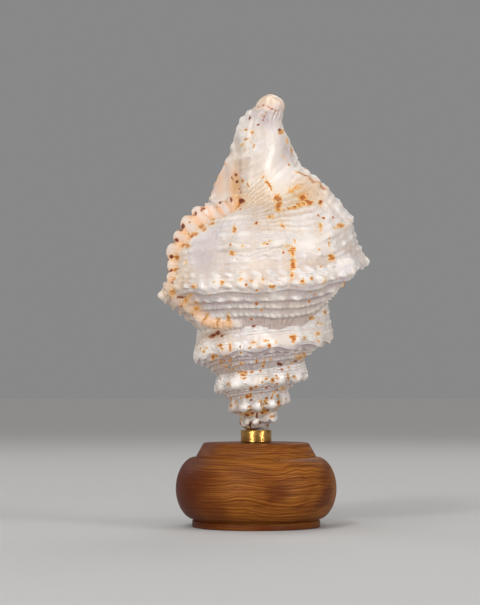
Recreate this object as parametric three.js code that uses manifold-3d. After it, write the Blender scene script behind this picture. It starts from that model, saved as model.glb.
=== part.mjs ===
// A knobbed triton shell, standing apex down in a brass collar on a turned wooden base.
// Millimetres, +Z up. The origin is the centre of the base's underside; +X is the viewer's right and -Y faces
// the viewer. The shell coils round the Z axis, and a place on it is given in turns of growth: turn 0 is the
// widest point on the right, and every whole turn before it lies one whorl nearer the apex.
import * as THREE from "three";
import { mergeVertices } from "three/addons/utils/BufferGeometryUtils.js";
import Module from "manifold-3d";

const wasm = await Module();
wasm.setup();

// Wooden base, from the underside up
const FOOT_RADIUS = 42;
const FOOT_TOP = 4.2;
const GROOVE_RADIUS = 41;
const GROOVE_TOP = 5;
const BUN_BOTTOM_RADIUS = 41.3;
const BUN_RADIUS = 52.8;
const BUN_MIDDLE = 25;
const BUN_TOP = 45.6;
const BUN_TOP_RADIUS = 41;
const BOSS_RADIUS = 39.2;
const BOSS_STEP = 0.9;
const BASE_TOP = 55;
const BASE_TOP_RADIUS = 34.5;
const BASE_EDGE = 0.6;
const BASE_CORNER = 0.4;
const BUN_FULLNESS = 1.15;
const BUN_STEPS = 4;
const BASE_SIDES = 40;

// Brass collar
const GAP = 0.3;
const COLLAR_RADIUS = 10.2;
const COLLAR_WALL = 1;
const COLLAR_HEIGHT = 8;
const COLLAR_LIP = 0.35;
const COLLAR_SIDES = 26;

// Helix of the shoulder
const FIRST_TURN = -61 / 12;
const LIP_TURN = 7 / 48;
const SHOULDER_RADIUS = 74;
const RADIUS_GROWTH = 1.54;
const APEX_HEIGHT = 50;
const SPIRE_SWELL = 1.6;
const SPIRE_RISE = 71.5;
const RISE_GROWTH = 1.52;
const LAST_DROP = 14;
const SPIRE_SWELL_STARTS = [-5, -3.2];
const SPIRE_SWELL_ENDS = [-1, -0.7];
const LAST_DROP_GROWS = [-1, -0.5];
const NEAR_SAG = 9;
const NEAR_SAG_GROWS = [-0.48, -0.2];
const NEAR_SAG_ENDS = [-0.1, 0.02];

// Big knob just behind the old varix
const BACK_KNOB = 3;
const BACK_KNOB_TURN = -0.5;
const BACK_KNOB_WIDTH = 0.035;
const BACK_KNOB_DIP_WIDTH = 0.05;

// Band of the whorl before that shows beyond the suture: wider on the last whorl and under the big knob, and
// narrower where the last whorl's shoulder sags
const BAND_SHARE = 0.15;
const BAND_LEAST = 1;
const LAST_BAND = 4;
const LAST_BAND_GROWS = [-1, -0.4];
const APERTURE_BAND = 8;
const APERTURE_BAND_GROWS = [-0.16, 0.02];
const NEAR_BAND = 6;
const NEAR_BAND_TURN = -0.17;
const NEAR_BAND_WIDTH = 0.07;
const FOLD_BAND = 8;
const FOLD_TURN = -0.52;
const FOLD_WIDTH = 0.07;

// Whorl section, as shares of the shoulder's radius
const SUTURE_SHARE = 0.88;
const SUTURE_OVERLAP = 0.03;
const RAMP_HOLLOW = 0.03;
const SPIRE_RAMP_HOLLOW = 0.07;
const RAMP_FLATTENS = [-1.2, -0.4];
const RAMP_INSET = 0.6;
const SIDE = [
  [0, 1], [0.08, 0.965], [0.18, 0.92], [0.33, 0.885], [0.41, 0.865], [0.5, 0.79], [0.64, 0.65],
  [0.74, 0.52], [0.83, 0.41], [0.92, 0.335], [1.0, 0.285], [1.1, 0.235], [1.3, 0.13], [1.7, 0.05],
];
const HIDDEN_SIDE = [
  [0, 1], [0.12, 0.975], [0.5, 0.95], [0.62, 0.85], [0.75, 0.65], [0.9, 0.45], [1.0, 0.36], [1.15, 0.28],
];
const HIDDEN_REACH = 1.15;
const HIDDEN_MARGIN = 0.1;
const SIDE_OPENS = [-0.98, -0.78];

// Siphonal canal
const TIP_HEIGHT = 284.6;
const NECK_RADIUS = [
  [180, 4], [195, 9], [205, 13], [215, 17], [228, 19], [241, 20], [248, 20], [255, 18], [261, 15.5],
  [268, 13.2], [273, 11.5], [278, 9.6], [281.5, 8.2], [283.5, 6.8], [284.6, 5],
];
const NECK_BEND = [
  [180, 0], [235, 0], [250, 2.8], [262, 2.6], [268, 3.5], [273, 6.3], [278, 9], [285, 9.6],
];
const NECK_BLEND = 6;
const FIRST_NECK = 0.25;
const NECK_GROWS = [-0.8, -0.64];
const CANAL_RADIUS = 4.2;
const WALL = 3.6;
const WALL_NARROWS = [212, 246];

// Shoulder knobs and the weaker row above them
const KNOBS_PER_TURN = 12;
const KNOB_DEPTH = 0.12;
const LAST_KNOB_DEPTH = 0.06;
const KNOB_CROWN = 0.25;
const KNOB_WIDTH = 0.15;
const KNOB_SHARPNESS = 1.3;
const KNOBS_WEAKEN = [-1.6, -0.8];
const SECOND_ROW = 0.42;
const SECOND_ROW_DEPTH = 1.6;
const SECOND_ROW_WIDTH = 0.06;
const SECOND_ROW_LEAD = 0.04;
const SECOND_ROW_GROWS = [-1.1, -0.7];

// Inner lip: a thin plate that stands out on the left of the canal, with a hollow beside it
const PLATE_TURN = -0.492;
const PLATE_FACE = 0.2;
const PLATE_BACK = 0.024;
const PLATE_EDGE = [[196, 0], [203, 30], [215, 31], [228, 27.7], [241, 21.8], [255, 15.8], [262, 0]];
const HOLLOW_TURN = -0.405;
const HOLLOW_DEPTH = 8;
const HOLLOW_WIDTH = 0.06;
const HOLLOW_FOOT = [196, 210];
const HOLLOW_HEAD = [244, 258];

// Old varix: turn and height of its crest, from the suture over the shoulder to the foot of the canal, and
// how far it stands out there
const VARIX = [
  [-0.29, 131, 3], [-0.335, 131, 4.5], [-0.375, 135, 5], [-0.4, 142, 5], [-0.42, 149, 5], [-0.435, 156, 5],
  [-0.452, 165, 5], [-0.462, 175, 5.5], [-0.466, 185, 10], [-0.462, 193, 14], [-0.452, 201, 17],
  [-0.432, 208, 18], [-0.4, 213, 15], [-0.36, 215, 9], [-0.31, 215, 3],
];
const VARIX_MIDDLE_TURN = -0.4;
const VARIX_HALF_SPAN = 0.25;
const VARIX_LEAN = 0.3;
const VARIX_FRONT = 8;
const VARIX_BACK = 4;
const SCALLOP_PITCH = 9.2;
const SCALLOP_DEPTH = 0.2;

// Flare of the outer lip: part of it at the suture, full above the shoulder, little of it along the canal
const LIP_FLARE = 18;
const LIP_FLARE_WIDTH = 9;
const LIP_FIRST_SHARE = 0.45;
const LIP_GROWS = [180, 205];
const LIP_LOSS = 0.85;
const LIP_NARROWS = [224, 242];
const LIP_ENDS = [264, 280];
const LIP_SCALLOP_DEPTH = 0.12;

// Mesh steps
const EARLY_STEP = 1 / 36;
const TURN_STEP = 1 / 48;
const FINE_STEP = 1 / 96;
const EARLY_PARTS = [FIRST_TURN, -53 / 12, -43 / 12, -33 / 12];
const SPIRE_PARTS = [-33 / 12, -23 / 12, -17 / 12, -10 / 12];
const FULL_TURN = -41 / 48;
const LAST_PARTS = [
  [FULL_TURN, -0.52, TURN_STEP],
  [-0.52, -0.3, FINE_STEP],
  [-0.3, 0.1, TURN_STEP],
  [0.1, LIP_TURN, FINE_STEP],
];
const RAMP_STEPS = 3;
const SIDE_STEPS = 5;
const LAST_RAMP_STEPS = 4;
const LAST_SIDE_STEPS = 17;
const SIDE_CROWDING = 1.08;
const INNER_EVERY = 3;
const SEAM_INSET = 0.5;
const HOLLOW_OPENS = [-0.6, -0.5];

// Solid middle of the spire, and the apex as it is bedded in the collar
const AXIS_RADIUS = 0.6;
const CORE_RADIUS = 1.6;
const CORE_BOTTOM = 60;
const CORE_TOP = 205;
const CORE_SIDES = 8;
const APEX_TOP = 66;
const APEX_CLEARANCE = 0.7;
const APEX_TAPER = 1.5;
const APEX_TAPER_HEIGHT = 2.5;

const TAU = 2 * Math.PI;
const mix = THREE.MathUtils.lerp;

// From 0 to 1 as a value crosses a span
function smooth([low, high], value) {
  return THREE.MathUtils.smoothstep(value, low, high);
}

// A wave between 0 and 1 that is 1 at every whole number
function swing(count) {
  return 0.5 + 0.5 * Math.cos(TAU * count);
}

// Smooth curve through points [x, y] whose x rises: cubic pieces with the mean slope of their neighbours
function through(points, x) {
  const last = points.length - 1;
  const value = Math.min(Math.max(x, points[0][0]), points[last][0]);
  let i = 0;
  while (i < last - 1 && value > points[i + 1][0]) i += 1;
  const slope = (k) => {
    const a = points[Math.max(k - 1, 0)];
    const b = points[Math.min(k + 1, last)];
    return (b[1] - a[1]) / (b[0] - a[0]);
  };
  const [[x0, y0], [x1, y1]] = [points[i], points[i + 1]];
  const width = x1 - x0;
  const s = (value - x0) / width;
  const rise = s * s * (3 - 2 * s);
  const start = s * (1 - s) * (1 - s) * width * slope(i);
  const end = s * s * (s - 1) * width * slope(i + 1);
  return mix(y0, y1, rise) + start + end;
}

function smoothMax(a, b, blend) {
  const near = Math.max(blend - Math.abs(a - b), 0);
  return Math.max(a, b) + (near * near) / (4 * blend);
}

// A hump of height 1 round zero, about as wide as its width on either side
function hump(offset, width) {
  return Math.exp(-((offset / width) ** 2));
}

// The helix swells a little on the spire, and at the big knob just behind the old varix
function shoulderRadius(turn) {
  const swell = SPIRE_SWELL * smooth(SPIRE_SWELL_STARTS, turn) * (1 - smooth(SPIRE_SWELL_ENDS, turn));
  const knob = BACK_KNOB * hump(turn - BACK_KNOB_TURN, BACK_KNOB_WIDTH);
  return SHOULDER_RADIUS * RADIUS_GROWTH ** turn + swell + knob;
}

// The last whorl stands a little further from the spire, and its shoulder sags where it faces the viewer
function shoulderHeight(turn) {
  const rise = SPIRE_RISE * RISE_GROWTH ** (turn + 1) + LAST_DROP * smooth(LAST_DROP_GROWS, turn);
  const sag = NEAR_SAG * smooth(NEAR_SAG_GROWS, turn) * (1 - smooth(NEAR_SAG_ENDS, turn));
  return APEX_HEIGHT + rise - sag - BACK_KNOB * hump(turn - BACK_KNOB_TURN, BACK_KNOB_DIP_WIDTH);
}

// The suture lies on the whorl before, a band above its shoulder that widens on the last whorl
function sutureHeight(turn) {
  const band = BAND_SHARE * shoulderRadius(turn) + BAND_LEAST;
  const widening =
    LAST_BAND * smooth(LAST_BAND_GROWS, turn) +
    APERTURE_BAND * smooth(APERTURE_BAND_GROWS, turn) +
    FOLD_BAND * hump(turn - FOLD_TURN, FOLD_WIDTH) -
    NEAR_BAND * hump(turn - NEAR_BAND_TURN, NEAR_BAND_WIDTH);
  return shoulderHeight(turn - 1) + band + widening;
}

// How fully the canal's own wall has grown: none of it before the aperture's inner side
function neckGrowth(turn) {
  return mix(FIRST_NECK, 1, smooth(NECK_GROWS, turn));
}

function sideRadius(turn, height) {
  const radius = shoulderRadius(turn);
  const share = (height - shoulderHeight(turn)) / radius;
  const open = smooth(SIDE_OPENS, turn);
  const whorl = radius * mix(through(HIDDEN_SIDE, share), through(SIDE, share), open);
  return smoothMax(whorl, through(NECK_RADIUS, height) * neckGrowth(turn), NECK_BLEND);
}

// Height at which an earlier whorl's own wall ends, just inside the next whorl or the aperture's inner side
function hiddenTop(turn) {
  const radius = shoulderRadius(turn);
  const reach = turn > FULL_TURN - 1 ? HIDDEN_REACH * radius : 0;
  return Math.max(shoulderHeight(turn) + reach, sutureHeight(turn + 1) + HIDDEN_MARGIN * radius);
}

// Knobs stand a little out of the helix, and sink the surface between them
function knobDisplacement(turn, fromShoulder) {
  const radius = shoulderRadius(turn);
  const wave = swing(KNOBS_PER_TURN * turn) ** KNOB_SHARPNESS - 1 + KNOB_CROWN;
  const depth = mix(KNOB_DEPTH, LAST_KNOB_DEPTH, smooth(KNOBS_WEAKEN, turn)) * radius;
  return depth * wave * hump(fromShoulder / radius, KNOB_WIDTH);
}

function secondRowDisplacement(turn, share) {
  const wave = swing(KNOBS_PER_TURN * (turn + SECOND_ROW_LEAD)) * smooth(SECOND_ROW_GROWS, turn);
  return SECOND_ROW_DEPTH * wave * hump(share - SECOND_ROW, SECOND_ROW_WIDTH);
}

// The hollow beside the inner lip's plate, and the plate, whose face towards the aperture is the gentler one
function innerLipDisplacement(turn, height, radius) {
  const tall = smooth(HOLLOW_FOOT, height) * (1 - smooth(HOLLOW_HEAD, height));
  const hollow = -HOLLOW_DEPTH * hump(turn - HOLLOW_TURN, HOLLOW_WIDTH) * tall;
  const side = turn - PLATE_TURN;
  const face = side < 0 ? smooth([-PLATE_FACE, 0], side) ** 2 : 1 - smooth([0, PLATE_BACK], side);
  return hollow + Math.max(through(PLATE_EDGE, height) - radius, 0) * face;
}

const varixCrest = VARIX.map(([turn, height, stand]) => {
  const shoulder = shoulderHeight(turn);
  const onRamp = (height - sutureHeight(turn)) / (shoulder - sutureHeight(turn));
  const radius =
    height > shoulder
      ? sideRadius(turn, height)
      : mix(SUTURE_SHARE * shoulderRadius(turn - 1), shoulderRadius(turn), Math.max(onRamp, 0));
  return { place: placeAt(turn, radius, height), turn, height, stand };
});

function placeAt(turn, radius, height) {
  const angle = TAU * turn;
  return new THREE.Vector3(
    radius * Math.cos(angle) + through(NECK_BEND, height),
    radius * Math.sin(angle),
    height,
  );
}

// Where a point of the plain surface lies beside the varix: across its crest, along it, and how far it stands
// out at that place
function besideVarix(place, turn, height) {
  let nearest = { gap: Infinity };
  let along = 0;
  for (let i = 1; i < varixCrest.length; i += 1) {
    const [a, b] = [varixCrest[i - 1], varixCrest[i]];
    const span = b.place.clone().sub(a.place);
    const length = span.length();
    const part = THREE.MathUtils.clamp(place.clone().sub(a.place).dot(span) / length ** 2, 0, 1);
    const gap = a.place.clone().addScaledVector(span, part).distanceTo(place);
    if (gap < nearest.gap) {
      const cross = (b.turn - a.turn) * (height - a.height) - (b.height - a.height) * (turn - a.turn);
      nearest = { gap, across: cross < 0 ? gap : -gap, along: along + part * length };
      nearest.stand = mix(a.stand, b.stand, part);
    }
    along += length;
  }
  return nearest;
}

function varixDisplacement(place, turn, height) {
  if (Math.abs(turn - VARIX_MIDDLE_TURN) > VARIX_HALF_SPAN) return 0;
  const { across, along, stand } = besideVarix(place, turn, height);
  const scallop = 1 - SCALLOP_DEPTH * (1 - swing(along / SCALLOP_PITCH));
  const width = across > 0 ? VARIX_FRONT : VARIX_BACK;
  return Math.abs(across) < 3 * width ? stand * scallop * hump(across, width) : 0;
}

function lipDisplacement(turn, height) {
  const back = TAU * (LIP_TURN - turn) * shoulderRadius(turn);
  if (back > 3 * LIP_FLARE_WIDTH) return 0;
  const upright = mix(LIP_FIRST_SHARE, 1, smooth(LIP_GROWS, height)) - LIP_LOSS * smooth(LIP_NARROWS, height);
  const scallop = 1 - LIP_SCALLOP_DEPTH * (1 - swing(height / SCALLOP_PITCH));
  return LIP_FLARE * upright * (1 - smooth(LIP_ENDS, height)) * scallop * hump(back, LIP_FLARE_WIDTH);
}

// One point of the outer surface: its radius and height, the way its surface faces, and its sideways lean
function outerPoint(turn, plain, before, after) {
  const [radius, height] = plain;
  const run = new THREE.Vector2(after[1] - before[1], before[0] - after[0]).normalize();
  const shoulder = shoulderHeight(turn);
  const rampDrop = Math.hypot(shoulderRadius(turn) - radius, shoulder - height);
  const fromShoulder = height < shoulder ? rampDrop : height - shoulder;
  const share = (height - shoulder) / shoulderRadius(turn);
  const varix = turn > FULL_TURN ? varixDisplacement(placeAt(turn, radius, height), turn, height) : 0;
  const full = turn >= FULL_TURN ? 1 : 0;
  const out =
    knobDisplacement(turn, fromShoulder) +
    secondRowDisplacement(turn, share) +
    full * innerLipDisplacement(turn, height, radius) +
    varix +
    full * lipDisplacement(turn, height);
  return { radius: radius + out * run.x, height: height + out * run.y, run, lean: VARIX_LEAN * varix };
}

// The plain outer profile of one section, from the suture over the shoulder to the top of its wall
function plainProfile(turn, rampSteps, sideSteps, top) {
  const shoulder = [shoulderRadius(turn), shoulderHeight(turn)];
  const suture = [
    SUTURE_SHARE * shoulderRadius(turn - 1),
    sutureHeight(turn) - SUTURE_OVERLAP * shoulder[0],
  ];
  const depth = mix(SPIRE_RAMP_HOLLOW, RAMP_HOLLOW, smooth(RAMP_FLATTENS, turn));
  const points = [];
  for (let i = 0; i < rampSteps; i += 1) {
    const share = i / rampSteps;
    const hollow = depth * shoulder[0] * Math.sin(Math.PI * share);
    const radius = mix(suture[0], shoulder[0], share) - RAMP_INSET * hollow;
    points.push([radius, mix(suture[1], shoulder[1], share) + hollow]);
  }
  for (let i = 0; i <= sideSteps; i += 1) {
    const height = mix(shoulder[1], top, (i / sideSteps) ** SIDE_CROWDING);
    points.push([sideRadius(turn, height), height]);
  }
  return points;
}

function outerProfile(turn, rampSteps, sideSteps, top) {
  const plain = plainProfile(turn, rampSteps, sideSteps, top);
  const last = plain.length - 1;
  return plain.map((point, i) =>
    outerPoint(turn, point, plain[Math.max(i - 1, 0)], plain[Math.min(i + 1, last)]),
  );
}

function leaningPlace(turn, { radius, height, lean }) {
  return placeAt(turn - lean / (TAU * Math.max(radius, 1)), radius, height);
}

// A section of an earlier whorl, closed along the axis
function earlierRing(turn) {
  const outer = outerProfile(turn, RAMP_STEPS, SIDE_STEPS, hiddenTop(turn));
  const ends = [outer[outer.length - 1], outer[0]];
  return { turn, outer, inner: ends.map(({ height }) => ({ radius: AXIS_RADIUS, height, lean: 0 })) };
}

// A section of the last whorl: first closed along the axis, then, where it is hollow, along the inside of its
// wall, which thickens round the narrow canal. Its first section lies just inside the whorl before it.
function lastRing(turn) {
  const inset = turn === FULL_TURN ? SEAM_INSET : 0;
  const profile = outerProfile(turn, LAST_RAMP_STEPS, LAST_SIDE_STEPS, TIP_HEIGHT);
  const outer = profile.map((point) => ({ ...point, radius: point.radius - inset }));
  const hollow = smooth(HOLLOW_OPENS, turn);
  const inner = outer.map((point) => {
    const narrow = smooth(WALL_NARROWS, point.height);
    const inside = mix(Math.max(point.radius - WALL * point.run.x, CANAL_RADIUS), CANAL_RADIUS, narrow);
    return {
      radius: mix(AXIS_RADIUS, inside, hollow),
      height: point.height - hollow * WALL * point.run.y * (1 - narrow),
      lean: 0,
    };
  });
  return { turn, outer, inner: inner.filter((_, i) => i % INNER_EVERY === 0).reverse() };
}

// A closed solid through rings of equal size, with a cap at either end between the outer and inner side
function solidThrough(rings) {
  const [outerSize, innerSize] = [rings[0].outer.length, rings[0].inner.length];
  const size = outerSize + innerSize;
  const places = rings.flatMap(({ turn, outer, inner }) =>
    [...outer, ...inner].map((point) => leaningPlace(turn, point)),
  );
  const faces = [];
  for (let k = 1; k < rings.length; k += 1) {
    for (let i = 0; i < size; i += 1) {
      const [a, b] = [(k - 1) * size + i, (k - 1) * size + ((i + 1) % size)];
      faces.push(a, a + size, b, b, a + size, b + size);
    }
  }
  const end = (rings.length - 1) * size;
  let [i, j] = [0, size - 1];
  while (i < outerSize - 1 || j > outerSize) {
    const outerNext = (i + 1) / (outerSize - 1);
    const innerNext = (size - j) / (innerSize - 1);
    const stepOuter = i < outerSize - 1 && (j === outerSize || outerNext <= innerNext);
    const third = stepOuter ? i + 1 : j - 1;
    faces.push(i, third, j, end + i, end + j, end + third);
    if (stepOuter) i += 1;
    else j -= 1;
  }
  return new wasm.Manifold(
    new wasm.Mesh({
      numProp: 3,
      vertProperties: new Float32Array(places.flatMap((place) => place.toArray())),
      triVerts: new Uint32Array(faces),
    }),
  );
}

// The turns from one place to another, evenly spaced by about one step
function turnsBetween(from, to, step) {
  const count = Math.round((to - from) / step);
  return Array.from({ length: count + 1 }, (_, k) => mix(from, to, k / count));
}

function solidOf(geometry) {
  geometry.deleteAttribute("normal");
  geometry.deleteAttribute("uv");
  const merged = mergeVertices(geometry, 1e-4);
  return new wasm.Manifold(
    new wasm.Mesh({
      numProp: 3,
      vertProperties: merged.attributes.position.array,
      triVerts: new Uint32Array(merged.index.array),
    }),
  );
}

// The joined body alone: where two walls meet in one plane, a join can leave slivers without volume beside it
function largestBody(solid) {
  return solid.decompose().reduce((a, b) => (a.volume() > b.volume() ? a : b));
}

function geometryOf(solid) {
  const { vertProperties, triVerts } = solid.getMesh();
  const geometry = new THREE.BufferGeometry();
  geometry.setAttribute("position", new THREE.BufferAttribute(vertProperties, 3));
  geometry.setIndex(new THREE.BufferAttribute(triVerts, 1));
  return geometry;
}

// A solid of revolution round +Z from [radius, height] points, lowest first
function turned(profile, sides) {
  const points = profile.map(([radius, height]) => new THREE.Vector2(radius, height));
  return new THREE.LatheGeometry(points, sides).rotateX(Math.PI / 2);
}

// Points of a rounded flank that bulges out between two heights
function bulge([fromRadius, fromHeight], [radius, height], [toRadius, toHeight], steps) {
  const points = [];
  for (let i = 0; i <= 2 * steps; i += 1) {
    const rising = i >= steps;
    const angle = ((i - steps) / steps) * (Math.PI / 2);
    const inner = rising ? toRadius : fromRadius;
    const reach = rising ? toHeight - height : height - fromHeight;
    const out = (radius - inner) * Math.cos(angle) ** BUN_FULLNESS;
    points.push([inner + out, height + reach * Math.sin(angle)]);
  }
  return points;
}

function shellGeometry() {
  const collarFloor = BASE_TOP + GAP + COLLAR_WALL + GAP;
  const bedded = COLLAR_RADIUS - COLLAR_WALL - APEX_CLEARANCE;
  const apexProfile = [
    [0, collarFloor],
    [bedded - APEX_TAPER, collarFloor],
    [bedded, collarFloor + APEX_TAPER_HEIGHT],
    [bedded, APEX_TOP],
    [0, APEX_TOP],
  ];
  const coreProfile = [[0, CORE_BOTTOM], [CORE_RADIUS, CORE_BOTTOM], [CORE_RADIUS, CORE_TOP], [0, CORE_TOP]];
  let shell = solidOf(turned(apexProfile, COLLAR_SIDES)).add(solidOf(turned(coreProfile, CORE_SIDES)));
  for (const [parts, step] of [[EARLY_PARTS, EARLY_STEP], [SPIRE_PARTS, TURN_STEP]]) {
    for (let i = 1; i < parts.length; i += 1) {
      shell = shell.add(solidThrough(turnsBetween(parts[i - 1], parts[i], step).map(earlierRing)));
    }
  }
  const lastTurns = LAST_PARTS.flatMap(([from, to, step]) => turnsBetween(from, to, step).slice(1));
  return geometryOf(largestBody(shell.add(solidThrough([FULL_TURN, ...lastTurns].map(lastRing)))));
}

function collarGeometry() {
  const foot = BASE_TOP + GAP;
  const rim = foot + COLLAR_HEIGHT;
  const inside = COLLAR_RADIUS - COLLAR_WALL;
  return turned(
    [
      [0, foot],
      [COLLAR_RADIUS - COLLAR_LIP, foot],
      [COLLAR_RADIUS, foot + COLLAR_LIP],
      [COLLAR_RADIUS, rim - COLLAR_LIP],
      [COLLAR_RADIUS - COLLAR_LIP, rim],
      [inside, rim],
      [inside, foot + COLLAR_WALL],
      [0, foot + COLLAR_WALL],
    ],
    COLLAR_SIDES,
  );
}

function baseGeometry() {
  return turned(
    [
      [0, 0],
      [FOOT_RADIUS - BASE_EDGE, 0],
      [FOOT_RADIUS, BASE_EDGE],
      [FOOT_RADIUS, FOOT_TOP],
      [GROOVE_RADIUS, FOOT_TOP + BASE_CORNER],
      [GROOVE_RADIUS, GROOVE_TOP],
      ...bulge(
        [BUN_BOTTOM_RADIUS, GROOVE_TOP + BASE_CORNER],
        [BUN_RADIUS, BUN_MIDDLE],
        [BUN_TOP_RADIUS, BUN_TOP],
        BUN_STEPS,
      ),
      [BOSS_RADIUS, BUN_TOP + BASE_CORNER / 2],
      [BOSS_RADIUS, BUN_TOP + BOSS_STEP],
      [BASE_TOP_RADIUS + BASE_EDGE, BASE_TOP - BASE_EDGE],
      [BASE_TOP_RADIUS - BASE_EDGE, BASE_TOP],
      [0, BASE_TOP],
    ],
    BASE_SIDES,
  );
}

function piece(name, geometry, color, roughness, metalness) {
  const mesh = new THREE.Mesh(geometry, new THREE.MeshStandardMaterial({ color, roughness, metalness }));
  mesh.name = name;
  return mesh;
}

const object = new THREE.Group();
object.add(
  piece("shell", shellGeometry(), 0xe9e0da, 0.4, 0),
  piece("brass_collar", collarGeometry(), 0xd9a84e, 0.25, 1),
  piece("wood_base", baseGeometry(), 0x7c4a28, 0.45, 0),
);

export default object;
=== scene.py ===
"""Looks of a knobbed triton shell that stands apex down in a brass collar on a turned wooden base.

Lengths are in millimetres until a mesh is made. A place on the shell is given by its turn of growth, where
turn 0 is the widest point on the viewer's right and every whole turn before it lies one whorl nearer the
apex, and by its place across the whorl: from -1 at the suture to 0 at the shoulder, then in shares of the
shoulder's radius.
"""

import logging
import math
from dataclasses import dataclass
from enum import Enum
from functools import reduce

import bpy
import numpy as np
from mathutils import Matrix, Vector


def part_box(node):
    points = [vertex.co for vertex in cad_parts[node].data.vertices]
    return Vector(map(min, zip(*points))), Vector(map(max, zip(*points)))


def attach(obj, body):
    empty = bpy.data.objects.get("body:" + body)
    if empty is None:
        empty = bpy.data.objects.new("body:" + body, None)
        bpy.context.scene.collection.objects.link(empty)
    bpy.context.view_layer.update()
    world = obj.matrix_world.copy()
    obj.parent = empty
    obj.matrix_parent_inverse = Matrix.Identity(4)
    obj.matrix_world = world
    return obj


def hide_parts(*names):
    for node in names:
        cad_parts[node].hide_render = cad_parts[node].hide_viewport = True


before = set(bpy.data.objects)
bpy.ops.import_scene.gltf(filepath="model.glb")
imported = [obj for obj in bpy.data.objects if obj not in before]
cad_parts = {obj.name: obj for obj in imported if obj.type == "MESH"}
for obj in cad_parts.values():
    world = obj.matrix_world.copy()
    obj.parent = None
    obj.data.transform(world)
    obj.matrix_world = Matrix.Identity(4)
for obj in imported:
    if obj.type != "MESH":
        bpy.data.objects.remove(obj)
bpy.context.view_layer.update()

Array = np.ndarray
Span = tuple[float, float]
Triple = tuple[float, float, float]
Colour = tuple[float, float, float]
Socket = bpy.types.NodeSocket

MM = 0.001
TAU = 2 * math.pi
BODY = "root"


class Slot(Enum):
    """The record's material slots."""

    SHELL = "shell"
    BRASS = "brass"
    WOOD = "wood"


def smooth(span: Span, value: Array) -> Array:
    """From 0 to 1 as a value crosses a span, with a level start and end."""
    share = np.clip((value - span[0]) / (span[1] - span[0]), 0, 1)
    return share * share * (3 - 2 * share)


def band(rise: Span, fall: Span, value: Array) -> Array:
    """From 0 up to 1 as a value crosses one span, and back to 0 as it crosses a later one."""
    return smooth(rise, value) * (1 - smooth(fall, value))


def mix(start: Array, end: Array, share: Array) -> Array:
    """The value at a share of the way between two others."""
    return start + (end - start) * share


def hump(offset: Array, width: Array) -> Array:
    """A hump of height 1 round zero, about as wide as its width on either side."""
    return np.exp(-((offset / width) ** 2))


def swing(count: Array) -> Array:
    """A wave between 0 and 1 that is 1 at every whole number."""
    return 0.5 + 0.5 * np.cos(TAU * count)


def strongest(*values: Array) -> Array:
    """The largest of some values at each place."""
    return reduce(np.maximum, values)


def smooth_max(one: Array, other: Array, blend: float) -> Array:
    """The larger of two values, with a rounded change between them."""
    near = np.maximum(blend - np.abs(one - other), 0)
    return np.maximum(one, other) + near * near / (4 * blend)


def through(points: tuple[Span, ...], value: Array) -> Array:
    """A smooth curve through points: cubic pieces whose slopes are the mean slopes of their neighbours.

    Args:
        points: Pairs of x and y whose x rises.
        value: Where the curve is read; beyond its ends it stays level.

    Returns:
        The curve's heights.
    """
    x, y = np.asarray(points, float).T
    slope = np.gradient(y, x)
    slope[1:-1] = (y[2:] - y[:-2]) / (x[2:] - x[:-2])
    place = np.clip(value, x[0], x[-1])
    i = np.clip(np.searchsorted(x, place, side="right") - 1, 0, len(x) - 2)
    width = x[i + 1] - x[i]
    s = (place - x[i]) / width
    bend = s * (1 - s) ** 2 * width * slope[i] + s * s * (s - 1) * width * slope[i + 1]
    return mix(y[i], y[i + 1], s * s * (3 - 2 * s)) + bend


def normals(places: Array) -> Array:
    """Unit normals of a grid of places, from its steps from ring to ring and along the rings."""
    normal = np.cross(np.gradient(places, axis=0), np.gradient(places, axis=1))
    return normal / np.maximum(np.linalg.norm(normal, axis=-1, keepdims=True), 1e-9)


def relaxed(points: Array, pull: Array, rounds: int) -> Array:
    """Rounds off a grid's rings by drawing every point towards the middle of its two neighbours.

    Args:
        points: The grid; the first and the last point of each ring stay.
        pull: The share of the way that each point is drawn in one round.
        rounds: How often all points are drawn.

    Returns:
        The rounded grid.
    """
    made = points.copy()
    share = pull[:, 1:-1, None]
    for _ in range(rounds):
        middle = (made[:, :-2] + made[:, 2:]) / 2
        made[:, 1:-1] += share * (middle - made[:, 1:-1])
    return made


class Lattice:
    """Smooth random values between -1 and 1 over a plane, blended between the points of a seeded lattice.

    Its readers scale turns, shares, millimetres or pixels to lattice squares, and add an offset of their own
    that keeps their values apart.
    """

    def __init__(self, seed: int) -> None:
        """Draws the lattice's values."""
        self.size = 512
        self.values = np.random.default_rng(seed).uniform(-1, 1, (self.size, self.size))

    def at(self, x: Array, y: Array) -> Array:
        """Reads the values: each lattice square is blended with a smooth step along both sides."""
        x, y = np.broadcast_arrays(x, y)
        i, j = np.floor(x).astype(int), np.floor(y).astype(int)
        across, up = smooth((0, 1), x - i), smooth((0, 1), y - j)
        left, right = i % self.size, (i + 1) % self.size
        rows = (j % self.size, (j + 1) % self.size)
        low, high = (mix(self.values[left, row], self.values[right, row], across) for row in rows)
        return mix(low, high, up)


NOISE = Lattice(7)


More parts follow.
